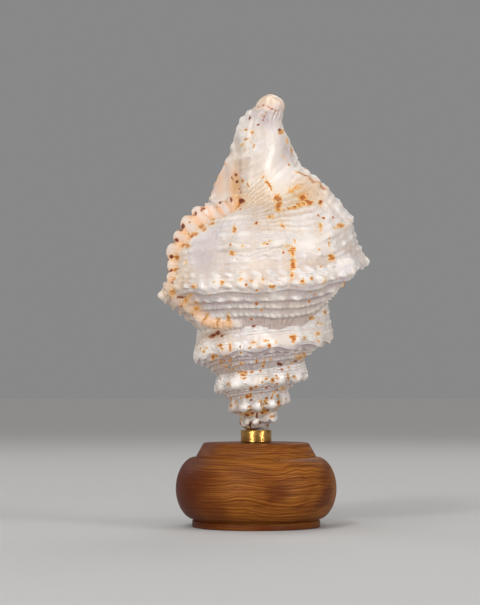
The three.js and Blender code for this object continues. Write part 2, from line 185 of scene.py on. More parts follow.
@dataclass(frozen=True)
class PhotoView:
    """The photograph's view: its size and focal length in pixels, where the camera stands, and its aim."""

    width: float = 480
    height: float = 605
    focal: float = 2003
    sensor: float = 36
    eye: Triple = (-10.6, -1320, 93)
    aim_height: float = 147.2

    @property
    def pitch(self) -> float:
        """How far the camera looks up, in radians."""
        return math.atan2(self.aim_height - self.eye[2], -self.eye[1])

    def pixels(self, places: Array) -> tuple[Array, Array]:
        """Where places lie in the photograph: their offsets over their depth, times the focal length."""
        offset = places - np.array(self.eye)
        cos, sin = math.cos(self.pitch), math.sin(self.pitch)
        depth = offset[..., 1] * cos + offset[..., 2] * sin
        rise = offset[..., 2] * cos - offset[..., 1] * sin
        x = self.width / 2 + self.focal * offset[..., 0] / depth
        return x, self.height / 2 - self.focal * rise / depth

    def camera(self) -> bpy.types.Object:
        """Makes the scene's camera."""
        data = bpy.data.cameras.new("photo_view")
        data.sensor_width = self.sensor
        data.lens = self.sensor * self.focal / self.height
        camera = bpy.data.objects.new("photo_view", data)
        camera.location = Vector(self.eye) * MM
        camera.rotation_euler = (math.pi / 2 + self.pitch, 0, 0)
        bpy.context.scene.collection.objects.link(camera)
        return camera


VIEW = PhotoView()


@dataclass(frozen=True)
class Growth:
    """How the whorls grow round the Z axis: sizes by the turn, and the wall's curves above the shoulder."""

    first_turn: float = -61 / 12
    full_turn: float = -41 / 48
    left_turn: float = -0.5
    lip_turn: float = 7 / 48
    knobs: int = 12
    shoulder: float = 74
    radius_growth: float = 1.54
    spire_swell: float = 1.6
    left_knob: float = 2
    right_dip: float = 1.8
    apex_height: float = 50
    spire_rise: float = 71.5
    rise_growth: float = 1.52
    last_rise: float = 14
    front_sag: float = 9
    left_sag: float = 3
    tip_height: float = 284.6
    suture_share: float = 0.88
    band_share: float = 0.15
    band_gap: float = 1
    band_widenings: tuple[tuple[Span, float], ...] = (((-1, -0.4), 4), ((-0.16, 0.02), 8))
    band_bulges: tuple[Span, ...] = ((-0.52, 8), (-0.17, -6))
    hidden_reach: float = 1.15
    side: tuple[Span, ...] = (
        (0, 1), (0.08, 0.965), (0.18, 0.92), (0.33, 0.885), (0.41, 0.865), (0.5, 0.8), (0.64, 0.68),
        (0.74, 0.545), (0.83, 0.402), (0.92, 0.335), (1.0, 0.285), (1.1, 0.235), (1.3, 0.13), (1.7, 0.05),
    )
    hidden_side: tuple[Span, ...] = (
        (0, 1), (0.12, 0.975), (0.5, 0.95), (0.62, 0.85), (0.75, 0.65), (0.9, 0.45), (1.0, 0.36),
        (1.15, 0.28),
    )
    neck: tuple[Span, ...] = (
        (180, 4), (195, 9), (205, 13), (215, 17), (228, 19), (241, 20), (248, 20), (255, 18), (261, 15.5),
        (268, 13.2), (273, 11.5), (278, 9.7), (281.5, 9.1), (283.5, 8.2), (284.6, 6.2),
    )
    neck_blend: float = 6
    bend: tuple[Span, ...] = (
        (180, 0), (235, 0), (250, 2.8), (262, 2.6), (268, 3.5), (273, 6.3), (278, 9), (285, 9.6),
    )

    def radius(self, turn: Array) -> Array:
        """The shoulder's radius: a power of the turn, fuller on the spire and left, less on the right."""
        swell = self.spire_swell * band((-5, -3.2), (-1, -0.7), turn)
        knobs = self.left_knob * hump(turn - self.left_turn, 0.035) - self.right_dip * hump(turn, 0.035)
        return self.shoulder * self.radius_growth**turn + swell + knobs

    def height(self, turn: Array) -> Array:
        """The shoulder's height: a power of the turn, with a further rise on the last whorl and two sags."""
        rise = self.spire_rise * self.rise_growth ** (turn + 1) + self.last_rise * smooth((-1, -0.5), turn)
        sag = self.front_sag * band((-0.48, -0.2), (-0.14, -0.02), turn)
        return self.apex_height + rise - sag - self.left_sag * hump(turn - self.left_turn, 0.05)

    def suture(self, turn: Array) -> Array:
        """The suture's height: a band above the shoulder of the whorl before, wider on the last whorl."""
        widening = sum(rise * smooth(span, turn) for span, rise in self.band_widenings)
        bulge = sum(rise * hump(turn - middle, 0.07) for middle, rise in self.band_bulges)
        return self.height(turn - 1) + self.band_share * self.radius(turn) + self.band_gap + widening + bulge

    def side_radius(self, turn: Array, height: Array) -> Array:
        """The wall's radius above the shoulder: the whorl's curve, joined smoothly to the canal's wall."""
        radius = self.radius(turn)
        share = (height - self.height(turn)) / radius
        opened = smooth((-0.98, -0.78), turn)
        whorl = radius * mix(through(self.hidden_side, share), through(self.side, share), opened)
        neck = through(self.neck, height) * mix(0.25, 1, smooth((-0.8, -0.64), turn))
        return smooth_max(whorl, neck, self.neck_blend)

    def hidden_top(self, turn: Array) -> Array:
        """Where an earlier whorl's wall ends, just inside the next whorl or the aperture's inner side."""
        reach = np.where(turn > self.full_turn - 1, self.hidden_reach, 0) * self.radius(turn)
        return np.maximum(self.height(turn) + reach, self.suture(turn + 1) + 0.1 * self.radius(turn))

    def place(self, turn: Array, radius: Array, height: Array) -> Array:
        """A place in space: radius and angle round Z, with the canal's sideways bend."""
        angle = TAU * turn
        x = radius * np.cos(angle) + through(self.bend, height)
        return np.stack(np.broadcast_arrays(x, radius * np.sin(angle), height), axis=-1)


GROWTH = Growth()


@dataclass
class Crest:
    """Where the places of a grid lie beside the varix's crest.

    Its arrays hold whether the crest is near at all, the distance across it, positive on its younger side,
    the way along it, and how far it stands out there.
    """

    near: Array
    beside: Array
    along: Array
    stand: Array

    @classmethod
    def far(cls, shape: tuple[int, ...]) -> "Crest":
        """The crest as seen from a stretch of whorls that it isn't on."""
        return cls(np.zeros(shape, bool), np.full(shape, 99.0), np.zeros(shape), np.zeros(shape))


@dataclass(frozen=True)
class Varix:
    """The old lip that stays as a scalloped flange: its crest's turns, heights and stands, and its lobes."""

    crest: tuple[Triple, ...] = (
        (-0.29, 131, 3), (-0.335, 131, 4), (-0.375, 135, 4), (-0.4, 142, 4), (-0.42, 149, 4),
        (-0.435, 156, 4), (-0.452, 165, 4.5), (-0.462, 175, 5.5), (-0.466, 185, 9.5), (-0.462, 193, 13),
        (-0.452, 201, 14.2), (-0.432, 208, 12.5), (-0.4, 213, 12), (-0.36, 215, 8), (-0.31, 215, 3),
    )
    middle_turn: float = -0.4
    half_turns: float = 0.25
    front: float = 8
    back: float = 4
    lean: float = 0.3
    pitch: float = 9.2
    lobe_power: float = 2.1
    depth: float = 0.38
    depth_width: float = 7
    top: float = 1.03
    swell: float = 2.2
    swell_level: float = 0.65
    swell_place: float = 6
    swell_width: float = 7
    strip_place: float = 3
    strip_widths: Span = (5, 9)
    foot_place: float = 13
    foot_width: float = 3.2
    full_stand: float = 12
    least_share: float = 0.4

    def share(self, stand: Array) -> Array:
        """How broad the flange is: its full width where it stands out far, less on the ramp."""
        return np.clip(stand / self.full_stand, self.least_share, 1)

    def lobe(self, along: Array) -> Array:
        """Rounded lobes between narrow valleys: a flattened half circle over each pitch."""
        count = along / self.pitch
        return np.sqrt(1 - (2 * np.abs(count - np.round(count))) ** self.lobe_power)

    def valley(self, along: Array) -> Array:
        """The valleys between lobes, as the square of a wave."""
        return (1 - swing(along / self.pitch)) ** 2

    def line(self) -> Array:
        """The crest's corners in space: on the straight ramp below the shoulder, on the wall above it."""
        turns, heights, _ = np.array(self.crest).T
        shoulder, suture = GROWTH.height(turns), GROWTH.suture(turns)
        ramp = np.maximum((heights - suture) / (shoulder - suture), 0)
        low = mix(GROWTH.suture_share * GROWTH.radius(turns - 1), GROWTH.radius(turns), ramp)
        radii = np.where(heights > shoulder, GROWTH.side_radius(turns, heights), low)
        return GROWTH.place(turns, radii, heights)

    def seen_from(self, places: Array, turn: Array, height: Array) -> Crest:
        """Finds the crest from places on the plain surface: the nearest point of its chain of pieces.

        Args:
            places: The places in space.
            turn: Their turns of growth.
            height: Their heights.

        Returns:
            Where the places lie beside the crest.
        """
        turns, heights, stands = np.array(self.crest).T
        points = self.line()
        spans = np.diff(points, axis=0)
        lengths = np.linalg.norm(spans, axis=1)
        starts = np.concatenate([[0], np.cumsum(lengths)])
        nearest = np.full(places.shape[:-1], np.inf)
        beside, along, stand = np.zeros_like(nearest), np.zeros_like(nearest), np.zeros_like(nearest)
        for k, (span, length) in enumerate(zip(spans, lengths)):
            part = np.clip(((places - points[k]) @ span) / length**2, 0, 1)
            gap = np.linalg.norm(places - points[k] - part[..., None] * span, axis=-1)
            side = (turns[k + 1] - turns[k]) * (height - heights[k])
            side = side - (heights[k + 1] - heights[k]) * (turn - turns[k])
            closer = gap < nearest
            nearest = np.where(closer, gap, nearest)
            beside = np.where(closer, np.where(side < 0, gap, -gap), beside)
            along = np.where(closer, starts[k] + part * length, along)
            stand = np.where(closer, mix(stands[k], stands[k + 1], part), stand)
        return Crest(np.abs(turn - self.middle_turn) < self.half_turns, beside, along, stand)

    def flange(self, crest: Crest) -> tuple[Array, Array]:
        """The flange: a hump across the crest, less high in its valleys, and a lobed swell beside it.

        Returns:
            How far it pushes the wall out, and how far it leans back along the growth.
        """
        broad = self.share(crest.stand)
        width = np.where(crest.beside > 0, self.front, self.back) * broad
        lobe = self.lobe(crest.along)
        scallop = self.top - self.depth * (1 - lobe) * hump(crest.beside, self.depth_width * broad)
        section = np.where(crest.near & (np.abs(crest.beside) < 3 * width), hump(crest.beside, width), 0)
        swell = hump(crest.beside - self.swell_place * broad, self.swell_width * broad) * crest.near
        swell = self.swell * (lobe - self.swell_level) * swell * smooth((2, 6), crest.stand)
        out = swell + crest.stand * scallop * section
        return out, self.lean * crest.stand * section

    def strip(self, crest: Crest) -> Array:
        """How fully places belong to the glazed strip along the crest."""
        broad = self.share(crest.stand)
        inward = crest.beside - self.strip_place * broad
        width = np.where(inward > 0, self.strip_widths[1], self.strip_widths[0]) * broad
        return crest.near * hump(inward, width) * smooth((2, 4), crest.stand)

    def foot(self, crest: Crest) -> Array:
        """How fully places belong to the line along the flange's foot."""
        place = self.foot_place * self.share(crest.stand)
        return hump(crest.beside - place, self.foot_width) * smooth((2, 5), crest.stand)


VARIX = Varix()


@dataclass(frozen=True)
class Row:
    """A spiral row of beads: its place across the whorl, sizes as shares of the radius, and beads a turn.

    The gap is how deep the row dips between beads, and the slant how far they lean along the growth.
    """

    place: float
    width: float
    height: float
    beads: float
    gap: float
    slant: float = 0


RAMP_ROWS = (
    Row(-0.09, 0.013, 0.02, 26, 0.2),
    Row(-0.27, 0.02, 0.032, 38, 0.75, 0.8),
    Row(-0.43, 0.017, 0.026, 86, 0.55, 0.5),
    Row(-0.6, 0.02, 0.034, 78, 0.75, 1.8),
    Row(-0.86, 0.012, 0.008, 60, 0.4),
)
SHOULDER_ROW = 0.03
SIDE_ROWS = (
    Row(SHOULDER_ROW, 0.035, 0.044, 47, 0.95, 0.4),
    Row(0.085, 0.018, 0.014, 40, 0.6, 1.5),
    Row(0.14, 0.024, 0.03, 43, 0.9, 0.8),
    Row(0.2, 0.018, 0.014, 33, 0.75),
    Row(0.265, 0.02, 0.02, 37, 0.85, 0.6),
    Row(0.33, 0.016, 0.01, 40, 0.6),
    Row(0.4, 0.022, 0.02, 34, 0.8, 0.8),
    Row(0.47, 0.014, 0.009, 40, 0.5),
    Row(0.54, 0.026, 0.024, 22, 0.9),
    Row(0.61, 0.014, 0.012, 40, 0.4),
    Row(0.665, 0.017, 0.022, 30, 0.3),
    Row(0.725, 0.018, 0.03, 26, 0.2),
    Row(0.785, 0.018, 0.032, 26, 0.2),
    Row(0.845, 0.018, 0.032, 24, 0.2),
    Row(0.905, 0.018, 0.03, 24, 0.25),
    Row(0.965, 0.018, 0.024, 22, 0.3),
    Row(1.02, 0.016, 0.014, 20, 0.35),
    Row(1.09, 0.017, 0.012, 20, 0.4),
    Row(1.17, 0.018, 0.012, 18, 0.5),
    Row(1.26, 0.018, 0.012, 18, 0.5),
    Row(1.36, 0.018, 0.012, 16, 0.5),
    Row(1.47, 0.018, 0.01, 16, 0.5),
)


MARK_SPREAD = 1.12


@dataclass(frozen=True)
class Mark:
    """A mark read from the photograph: its middle and half sizes in pixels, its strength and its tilt."""

    x: float
    y: float
    width: float
    height: float
    strength: float = 1
    tilt: float = 0

    def cover(self, x: Array, y: Array) -> Array:
        """A tilted hump over the mark's half sizes."""
        angle = math.radians(self.tilt)
        along = (x - self.x) * math.cos(angle) + (y - self.y) * math.sin(angle)
        beside = (y - self.y) * math.cos(angle) - (x - self.x) * math.sin(angle)
        spread = (along / self.width) ** 2 + (beside / self.height) ** 2
        return self.strength * np.exp(-spread / MARK_SPREAD**2)


def marks(*values: tuple[float, ...]) -> tuple[Mark, ...]:
    """Marks from their places and half sizes, and their strengths and tilts where those aren't the usual."""
    return tuple(Mark(*value) for value in values)


# The marks are read one by one: x, y, half width and half height in pixels, strength, and tilt in degrees.
ORANGE_MARKS = marks(
    (277.5, 199, 3.4, 4, 1), (278.5, 208, 2.8, 5, 1), (269, 185, 7, 1.7, 0.8, 56), (263, 177, 2, 2, 0.6),
    (302.5, 198, 4, 3.4, 1), (308, 202.5, 4.5, 2.2, 1), (298, 206.5, 11, 1.2, 0.9, -16),
    (291, 191, 4, 3, 0.6, -35), (298, 188, 5, 2.5, 0.5), (320, 203.5, 2.2, 2.4, 0.9),
    (321, 227, 2, 4, 0.75), (340.5, 225.5, 3.2, 1.7, 0.95), (336, 228, 3, 1.3, 0.6), (329, 242, 1, 5, 0.6),
    (234.5, 229, 1.8, 3.2, 0.8), (256.5, 224.5, 3, 1.2, 1, -18), (270, 217.5, 4, 1.6, 0.7),
    (282, 226.5, 3, 1.6, 0.7, 35), (292.3, 251.5, 2.6, 4.6, 1), (293, 264, 2.8, 5, 1),
    (292.3, 275, 2, 3.4, 0.75), (288, 246, 4, 1.4, 0.6), (294.5, 241, 1.4, 1.8, 0.9),
    (264.5, 244, 3, 1.4, 0.6), (271, 241.5, 3, 1.2, 0.5), (232.3, 253, 3.2, 2, 0.8),
    (242.4, 246, 1.5, 1.2, 0.7), (331.3, 257.5, 2.2, 3.4, 0.9), (320, 267.5, 1.6, 1.2, 0.8),
    (322.5, 280, 2.2, 2.4, 0.7), (302.6, 281.8, 2.2, 2, 1), (310.6, 279.3, 1.6, 1.5, 0.8),
    (241.7, 280.5, 2, 1.6, 0.6), (222.7, 282.7, 1.8, 1.8, 0.9), (214.5, 283, 1.4, 1.4, 0.6),
    (194.5, 286.5, 2, 2, 0.8), (190, 295, 3.4, 1.6, 0.7, -10), (197, 302, 2, 2.4, 0.6),
    (251.5, 282.3, 2.4, 1.3, 0.6), (263, 280, 1.8, 1.6, 0.7), (270.5, 286, 3, 1.2, 0.7),
    (243, 272.5, 2, 1.2, 0.5), (228.5, 317.5, 1.5, 4, 0.85), (311.5, 317.5, 3.2, 1.4, 0.9),
    (324.5, 312.5, 1.8, 2.4, 0.9), (320, 324, 3.4, 1, 0.7), (253, 342.8, 3, 1.4, 0.8),
    (250.4, 347.3, 1.6, 1.2, 0.8), (265.7, 340.7, 3, 1.4, 0.8), (268.3, 345.3, 2.6, 1.7, 1, 50),
    (259.6, 346.8, 3.6, 0.8, 0.8), (275.9, 342.2, 1.8, 1.4, 0.6), (292.2, 337, 3.2, 1.6, 0.9),
    (293.4, 339, 1.9, 4, 1), (302.4, 337.7, 3.4, 2.6, 0.5), (317.8, 334.1, 2.6, 2, 0.7),
    (318.8, 341.2, 1.2, 1.4, 0.8), (220.8, 345.3, 3, 1.3, 0.8), (222.3, 348.4, 0.9, 2, 0.8),
    (230, 346.8, 1.3, 4, 1), (205, 350.9, 1.8, 1.3, 0.9), (207, 348, 1.6, 1.2, 0.7),
    (213.2, 356.5, 2, 2.6, 0.9), (256.5, 361.1, 0.9, 2, 0.8), (263.7, 361.6, 1, 3, 0.9),
    (262.7, 366.2, 1.8, 0.8, 1), (270.3, 358.6, 1, 1.3, 0.7), (299.4, 357, 4.4, 2.6, 0.7),
    (304, 354.5, 1, 3, 0.8), (289.2, 366.7, 1.2, 1, 0.7), (292.2, 363.2, 2, 1, 0.7),
    (241.7, 363.2, 2.4, 1.5, 0.8), (241.2, 372.3, 3.4, 1.2, 1), (245.8, 372.3, 1.4, 1.3, 1),
    (243.3, 375, 3, 1, 0.9), (244.3, 378, 2.5, 1, 1), (251.9, 371.8, 1.4, 1.4, 0.9),
    (266.2, 378.5, 1.8, 1.8, 0.8), (272.9, 380, 1.8, 2, 0.9), (277, 378.5, 2.4, 1.4, 0.5),
    (262.1, 382, 1.4, 0.8, 0.9), (287.7, 374.9, 1.1, 2, 1), (287.1, 378, 1.4, 1.4, 1),
    (294.3, 376.9, 1.8, 1.2, 0.9), (251.4, 387.1, 2.2, 0.6, 0.8), (256, 386.6, 1.7, 1.2, 0.9),
    (230.5, 384.1, 1.4, 2.4, 0.5), (247.3, 396.3, 2, 1.8, 1), (250.4, 395.3, 1.5, 2.4, 1),
    (240.2, 397.9, 1.2, 1.4, 0.8), (271.8, 396.3, 1, 3, 1, 20), (278, 395.3, 0.9, 2, 0.8),
    (274.4, 391.7, 1.2, 1.8, 0.8), (282, 388.7, 3, 2, 0.6), (278, 402.4, 1.4, 3, 1),
    (265.7, 401.4, 2, 2.4, 0.7), (260.6, 401.4, 2.4, 2.4, 0.5), (231, 399, 0.9, 1.8, 0.8),
    (231, 405.5, 1.4, 2.4, 0.8), (250.4, 407, 2.4, 0.8, 0.8), (248, 414.5, 6, 2.2, 0.7),
    (264, 411.5, 4.6, 2.8, 0.7), (247, 429, 6, 1.5, 0.8), (240.5, 420, 3, 2, 0.5),
    (268.8, 425, 2, 1.5, 0.7), (271.8, 416.7, 2.4, 1, 0.8), (236, 368, 2, 1.2, 0.5),
    (226, 366, 1.4, 2, 0.5), (216, 355.5, 2.2, 1.1, 0.7, 20), (221, 361.5, 1.2, 2.8, 0.65),
    (226, 367, 1.1, 2.8, 0.65, -20), (230.5, 360, 1.3, 2.2, 0.6), (232.5, 369.5, 2.2, 1, 0.6),
    (212.5, 360, 1.6, 1.3, 0.6), (226.5, 356, 2, 0.9, 0.6), (249, 410.5, 4, 1.3, 0.7),
    (263, 406.8, 1.2, 2.4, 0.7), (236, 402, 1.2, 1.4, 0.6), (277, 410, 1.2, 1.4, 0.6),
    (212, 224.5, 2.6, 1.6, 0.85, -30), (204.5, 229.5, 2.6, 1.6, 0.85, -30),
    (195.5, 234.5, 2.6, 1.8, 0.9, -40), (188.2, 246.3, 2.2, 2.6, 0.9), (186.5, 262, 2, 2, 0.4),
    (246.5, 130.3, 1.6, 1.2, 0.8), (251.8, 132.3, 1.6, 1.3, 1), (241, 130.6, 1.5, 1, 0.5),
    (247, 139.2, 2.6, 1.1, 0.8, -22), (242.5, 145, 2.2, 1, 0.6, -22), (254, 146, 2.2, 1, 0.8, -55),
    (251, 141.5, 1.5, 0.9, 0.5), (281, 132, 2, 3, 0.75, 40), (287, 141, 1, 3.6, 0.6),
    (291.3, 150, 1, 4.8, 0.7), (283.5, 157.5, 4, 0.9, 0.5, 42), (288.8, 165.3, 1.2, 1.3, 0.8),
    (299, 174, 5, 1.1, 0.9, 22), (311, 181.5, 7, 1.2, 0.9, 32), (321, 187.6, 5, 1.1, 0.9, 38),
    (224.3, 160.5, 1.6, 2.6, 0.9, 30), (211, 192, 1.4, 7, 0.75, 8), (216, 180, 1.4, 8, 0.6, 25),
    (242.3, 181.3, 1.5, 1.5, 1), (248, 185, 1.2, 2, 1),
)
DARK_MARKS = marks(
    (278, 200, 1.8, 2, 0.5), (256.8, 224.6, 2, 0.8, 0.9, -18), (292.5, 252, 1, 2, 0.4),
    (293.3, 265, 1, 2, 0.4), (320, 203, 1.6, 1.8, 0.7), (202, 209.5, 2, 1.8, 0.95, -35),
    (194.7, 214.5, 2, 1.8, 0.95, -35), (183, 225.5, 1.8, 1.8, 0.9), (181.7, 230, 1.8, 1.5, 0.95),
    (176.5, 240.5, 2.2, 1.6, 0.95, -20), (171.4, 257, 1.4, 2.4, 0.95), (171.5, 271, 2, 1.4, 0.9),
    (172.5, 283, 1.6, 1.2, 0.7), (220.5, 202.8, 1.1, 2, 0.9), (231, 200, 1.2, 2.2, 0.9),
    (241.5, 200.8, 3, 2.4, 1), (180.5, 297.4, 6, 0.9, 0.8, 3), (186, 297.5, 1.6, 1.2, 0.6),
    # The dark marks near x 213 to 222, y 333 to 336 are partly painted shade in the hollow under the varix's
    # lowest lobe.
    (254, 326.3, 2, 1.2, 1), (212.7, 335.4, 4, 2, 0.8, -20), (218, 333, 2.6, 2, 0.9),
    (222, 336, 2.4, 1.6, 0.75), (280.5, 364.2, 2.8, 1.3, 1, 15), (295.3, 361.1, 1.5, 1.2, 1),
    (262.5, 366.3, 1.2, 0.7, 0.8), (251.2, 399.6, 1.1, 1.1, 1), (247, 415, 2, 1.4, 0.75),
    (252.5, 413, 1.4, 1.4, 0.7), (256.5, 416, 1, 3.6, 1), (262, 412.5, 1.6, 1.4, 0.7),
    (267.8, 409.5, 1.5, 1.3, 0.75), (250.4, 425, 1.2, 3.8, 1), (260.1, 422.3, 0.9, 2, 0.9),
    (245.3, 429.5, 2.6, 1, 0.7), (255.5, 428.5, 1.8, 1.2, 0.75), (258.8, 107.3, 3, 1.1, 0.5, -15),
    (263.5, 105.4, 2.4, 1.2, 0.65, -10), (268, 106.6, 2.4, 1, 0.6, 30), (272, 109, 3, 1.1, 0.72, 28),
    (276.3, 110.5, 2.2, 1, 0.6, 15), (274.7, 113.3, 1.3, 1.5, 0.65), (264, 117, 1, 1, 0.6),
    (268, 121, 1.2, 1, 0.55), (249.8, 118, 1.1, 2, 0.9), (258.5, 125.2, 1.5, 1.2, 1),
    (263.5, 120.3, 1.2, 1.2, 0.6), (279.7, 130.2, 1.5, 1.3, 1), (252, 132.5, 1, 0.8, 0.5),
    (236, 175, 1.4, 1.4, 1), (232.4, 178.5, 0.8, 2.4, 0.8, -20), (236.6, 181.6, 1.4, 1.6, 1, 40),
    (239, 188.2, 1.2, 1, 0.8), (241.6, 192, 1, 1.2, 0.8), (231.6, 200.7, 1.4, 1.4, 0.7),
    (248, 185.2, 0.8, 1.3, 0.5), (303, 176, 6, 0.7, 0.6, 25),
)
# Mauve marks: mauve tint on the canal and the plate, and painted shade in the recess, under the shoulders
# and on the body's right side.
MAUVE_AND_PAINTED_SHADE_MARKS = marks(
    (266, 119, 10, 9, 0.7), (256, 116, 6, 6, 0.4), (277, 108, 8, 4, 0.4), (284, 146, 5, 12, 0.5, -20),
    (215, 186, 5, 16, 0.55, 15), (226.5, 171, 4, 9, 0.5), (262, 351, 30, 4.5, 0.6, -8),
    (305, 344, 12, 3, 0.6, -8), (345, 215, 14, 22, 0.2), (322, 295, 24, 10, 0.3), (207, 256, 12, 22, 0.6),
    (235, 358, 16, 4, 0.5, 10), (245, 391, 14, 3, 0.5), (272, 388, 16, 3, 0.35),
)
# Tan marks: tan colour in places, and painted shade in the recess beside the canal, in the hollow under the
# varix and on the ramp behind it.
TAN_AND_PAINTED_SHADE_MARKS = marks(
    (235, 185, 6, 15, 0.75), (242, 194, 4.5, 7, 0.6), (240, 164, 9, 6, 0.5), (228, 172, 4, 10, 0.45),
    (229.5, 186, 3.5, 12, 0.45), (181, 312, 16, 14, 0.6, 30), (170, 288, 8, 9, 0.45),
    (181, 259, 5, 3.5, 0.4), (181, 276, 4, 8, 0.25), (246, 196, 4, 12, 0.4), (228, 150, 3, 8, 0.5),
    (308, 192, 20, 12, 0.6), (219, 180, 8, 20, 0.3), (262, 100, 9, 8, 0.35), (178, 290, 6, 10, 0.4),
    (268, 204, 20, 14, 0.25), (222, 364, 12, 8, 0.6), (200, 345, 10, 8, 0.25),
    (216, 335, 13, 4.5, 0.9, -12), (258, 413, 16, 4, 0.5), (250, 425, 12, 5, 0.4), (240, 246, 16, 5, 0.2),
    (270, 262, 12, 8, 0.16), (285, 262, 4, 16, 0.3), (262, 230, 18, 4, 0.2), (318, 230, 4, 14, 0.3),
    (331, 258, 3, 12, 0.25), (258, 281, 30, 3.5, 0.3),
)
GLAZE_MARKS = marks(
    (205, 256, 13, 24, 1), (279, 168, 16, 29, 1), (268, 102, 14, 8, 1), (220, 322, 20, 7, 0.7),
    (220, 180, 13, 22, 1), (273, 135, 9, 24, 0.7), (310, 240, 20, 14, 0.7), (262, 262, 16, 8, 0.4),
    (360, 262, 18, 10, 1), (283, 262, 7, 12, 0.6), (270, 338, 24, 8, 0.8), (300, 222, 14, 8, 0.6),
    (250, 378, 26, 5, 0.5),
)
PEACH_MARKS = marks(
    (216, 324, 15, 5, 0.8), (237, 206, 7, 7, 0.7), (235, 184, 6, 15, 1.1), (197, 308, 6, 14, 0.5, -25),
    (218, 178, 8, 20, 0.7), (244, 144, 8, 18, 0.15), (262, 200, 16, 16, 0.3), (310, 190, 22, 16, 0.45),
    (274, 99, 14, 9, 0.4), (183, 245, 9, 40, 0.35), (205, 215, 22, 10, 0.35, -30),
)
BUMP_MARKS = marks(
    (226, 247, 7, 1.8, 1.1, -28), (237, 245.5, 6, 1.6, 0.9, 12), (224, 252, 4, 3, -0.8),
    (272, 288, 2.6, 9, 1.2), (326, 274, 6, 5, 1.8), (346, 266, 8, 6, 1.6), (219, 282, 3, 4, 1),
    (241, 279.5, 4, 4, 1.5), (258, 279, 3.4, 4, 1), (274.6, 282, 3, 5, 1.3), (286, 279, 3.4, 4, 1.2),
    (303, 277.5, 3, 4, 1.1), (311, 276.5, 3, 4, 1), (225.5, 158.5, 3, 4, 1.4), (258.6, 406.5, 3, 3, 1.7),
    (249, 112.5, 2.4, 2.6, 1), (241.5, 119.5, 2.6, 3, 1.1), (238.8, 128.5, 2.4, 3, 0.8),
    (232, 146.5, 2.2, 3, 0.9), (250, 124, 5, 2.4, 0.5, -30), (246, 134, 6, 2.4, 0.5, -30),
    (244, 144, 6, 2.4, 0.5, -30), (253, 151, 6, 2.4, 0.5, -35), (262, 113, 4, 2, 0.4, -20),
    (243, 156, 6, 2.4, 0.4, -35), (245.3, 407.6, 3, 3, 1.7), (271.8, 404.5, 3.2, 3, 1.7),
    (255, 422.3, 2.6, 3, 1.3), (245.3, 425, 2.6, 2.6, 1.2), (214, 322, 12, 5, 2), (231, 324, 9, 4, 1.4),
    (206, 352, 5, 5, 1.6), (244, 382, 5, 4.5, 1.5), (241, 348, 5, 4, 1.4), (301, 338, 6, 4, 1.2),
    (270, 344, 5, 3.5, 0.9), (227, 384, 4.5, 4, 1.5), (280, 378, 5, 4, 1.4), (302, 375, 4, 4, 1),
    (272.5, 420, 3, 3, 1.2),
)


@dataclass
class Skin:
    """A grid of places on the shell's surface, one row per turn, with what the finish reads at each."""

    places: Array
    layers: dict[str, Array]

    def joined(self, other: "Skin") -> "Skin":
        """This grid and another beside it, ring by ring."""
        layers = {name: np.concatenate([own, other.layers[name]], 1) for name, own in self.layers.items()}
        return Skin(np.concatenate([self.places, other.places], 1), layers)

    def columns(self, kept: Array | list[int]) -> "Skin":
        """Some of the grid's columns, in the order in which they are named."""
        return Skin(self.places[:, kept], {name: values[:, kept] for name, values in self.layers.items()})


TURN_STEPS = 4000


@dataclass(frozen=True)
class Whorls:
    """A stretch of whorls: where it starts and ends, its rings, and the points on its ramp and its side."""

    start: float
    end: float
    rings: int
    ramp: int
    side: int
    last: bool = False

    def turns(self) -> Array:
        """The rings' turns, closer together at the old varix and at the outer lip."""
        fine = np.linspace(self.start, self.end, TURN_STEPS)
        weight = 1 + 0.7 * hump(fine + 0.43, 0.09) + 0.7 * hump(fine - GROWTH.lip_turn, 0.05)
        weight = weight - 0.45 * (1 - smooth((-0.58, -0.52), fine)) * self.last
        total = np.concatenate([[0], np.cumsum((weight[1:] + weight[:-1]) / 2)])
        return np.interp(np.linspace(0, total[-1], self.rings), total, fine)


SPIRE = (
    Whorls(GROWTH.first_turn, -3.86, 180, 14, 20),
    Whorls(-3.9, -2.86, 210, 17, 24),
    Whorls(-2.9, -1.86, 290, 25, 32),
    Whorls(-1.9, -0.825, 400, 36, 46),
)
LAST = Whorls(GROWTH.full_turn, GROWTH.lip_turn, 444, 40, 130, True)


@dataclass
class Sheet:
    """A stretch of whorls before its fine relief.

    Its arrays hold each ring's turn, each place across the whorl and in space, the ramp's length as a share
    of the radius, where the varix's crest lies, and the distance back from the outer lip.
    """

    turn: Array
    across: Array
    places: Array
    ramp_share: Array
    crest: Crest
    back: Array


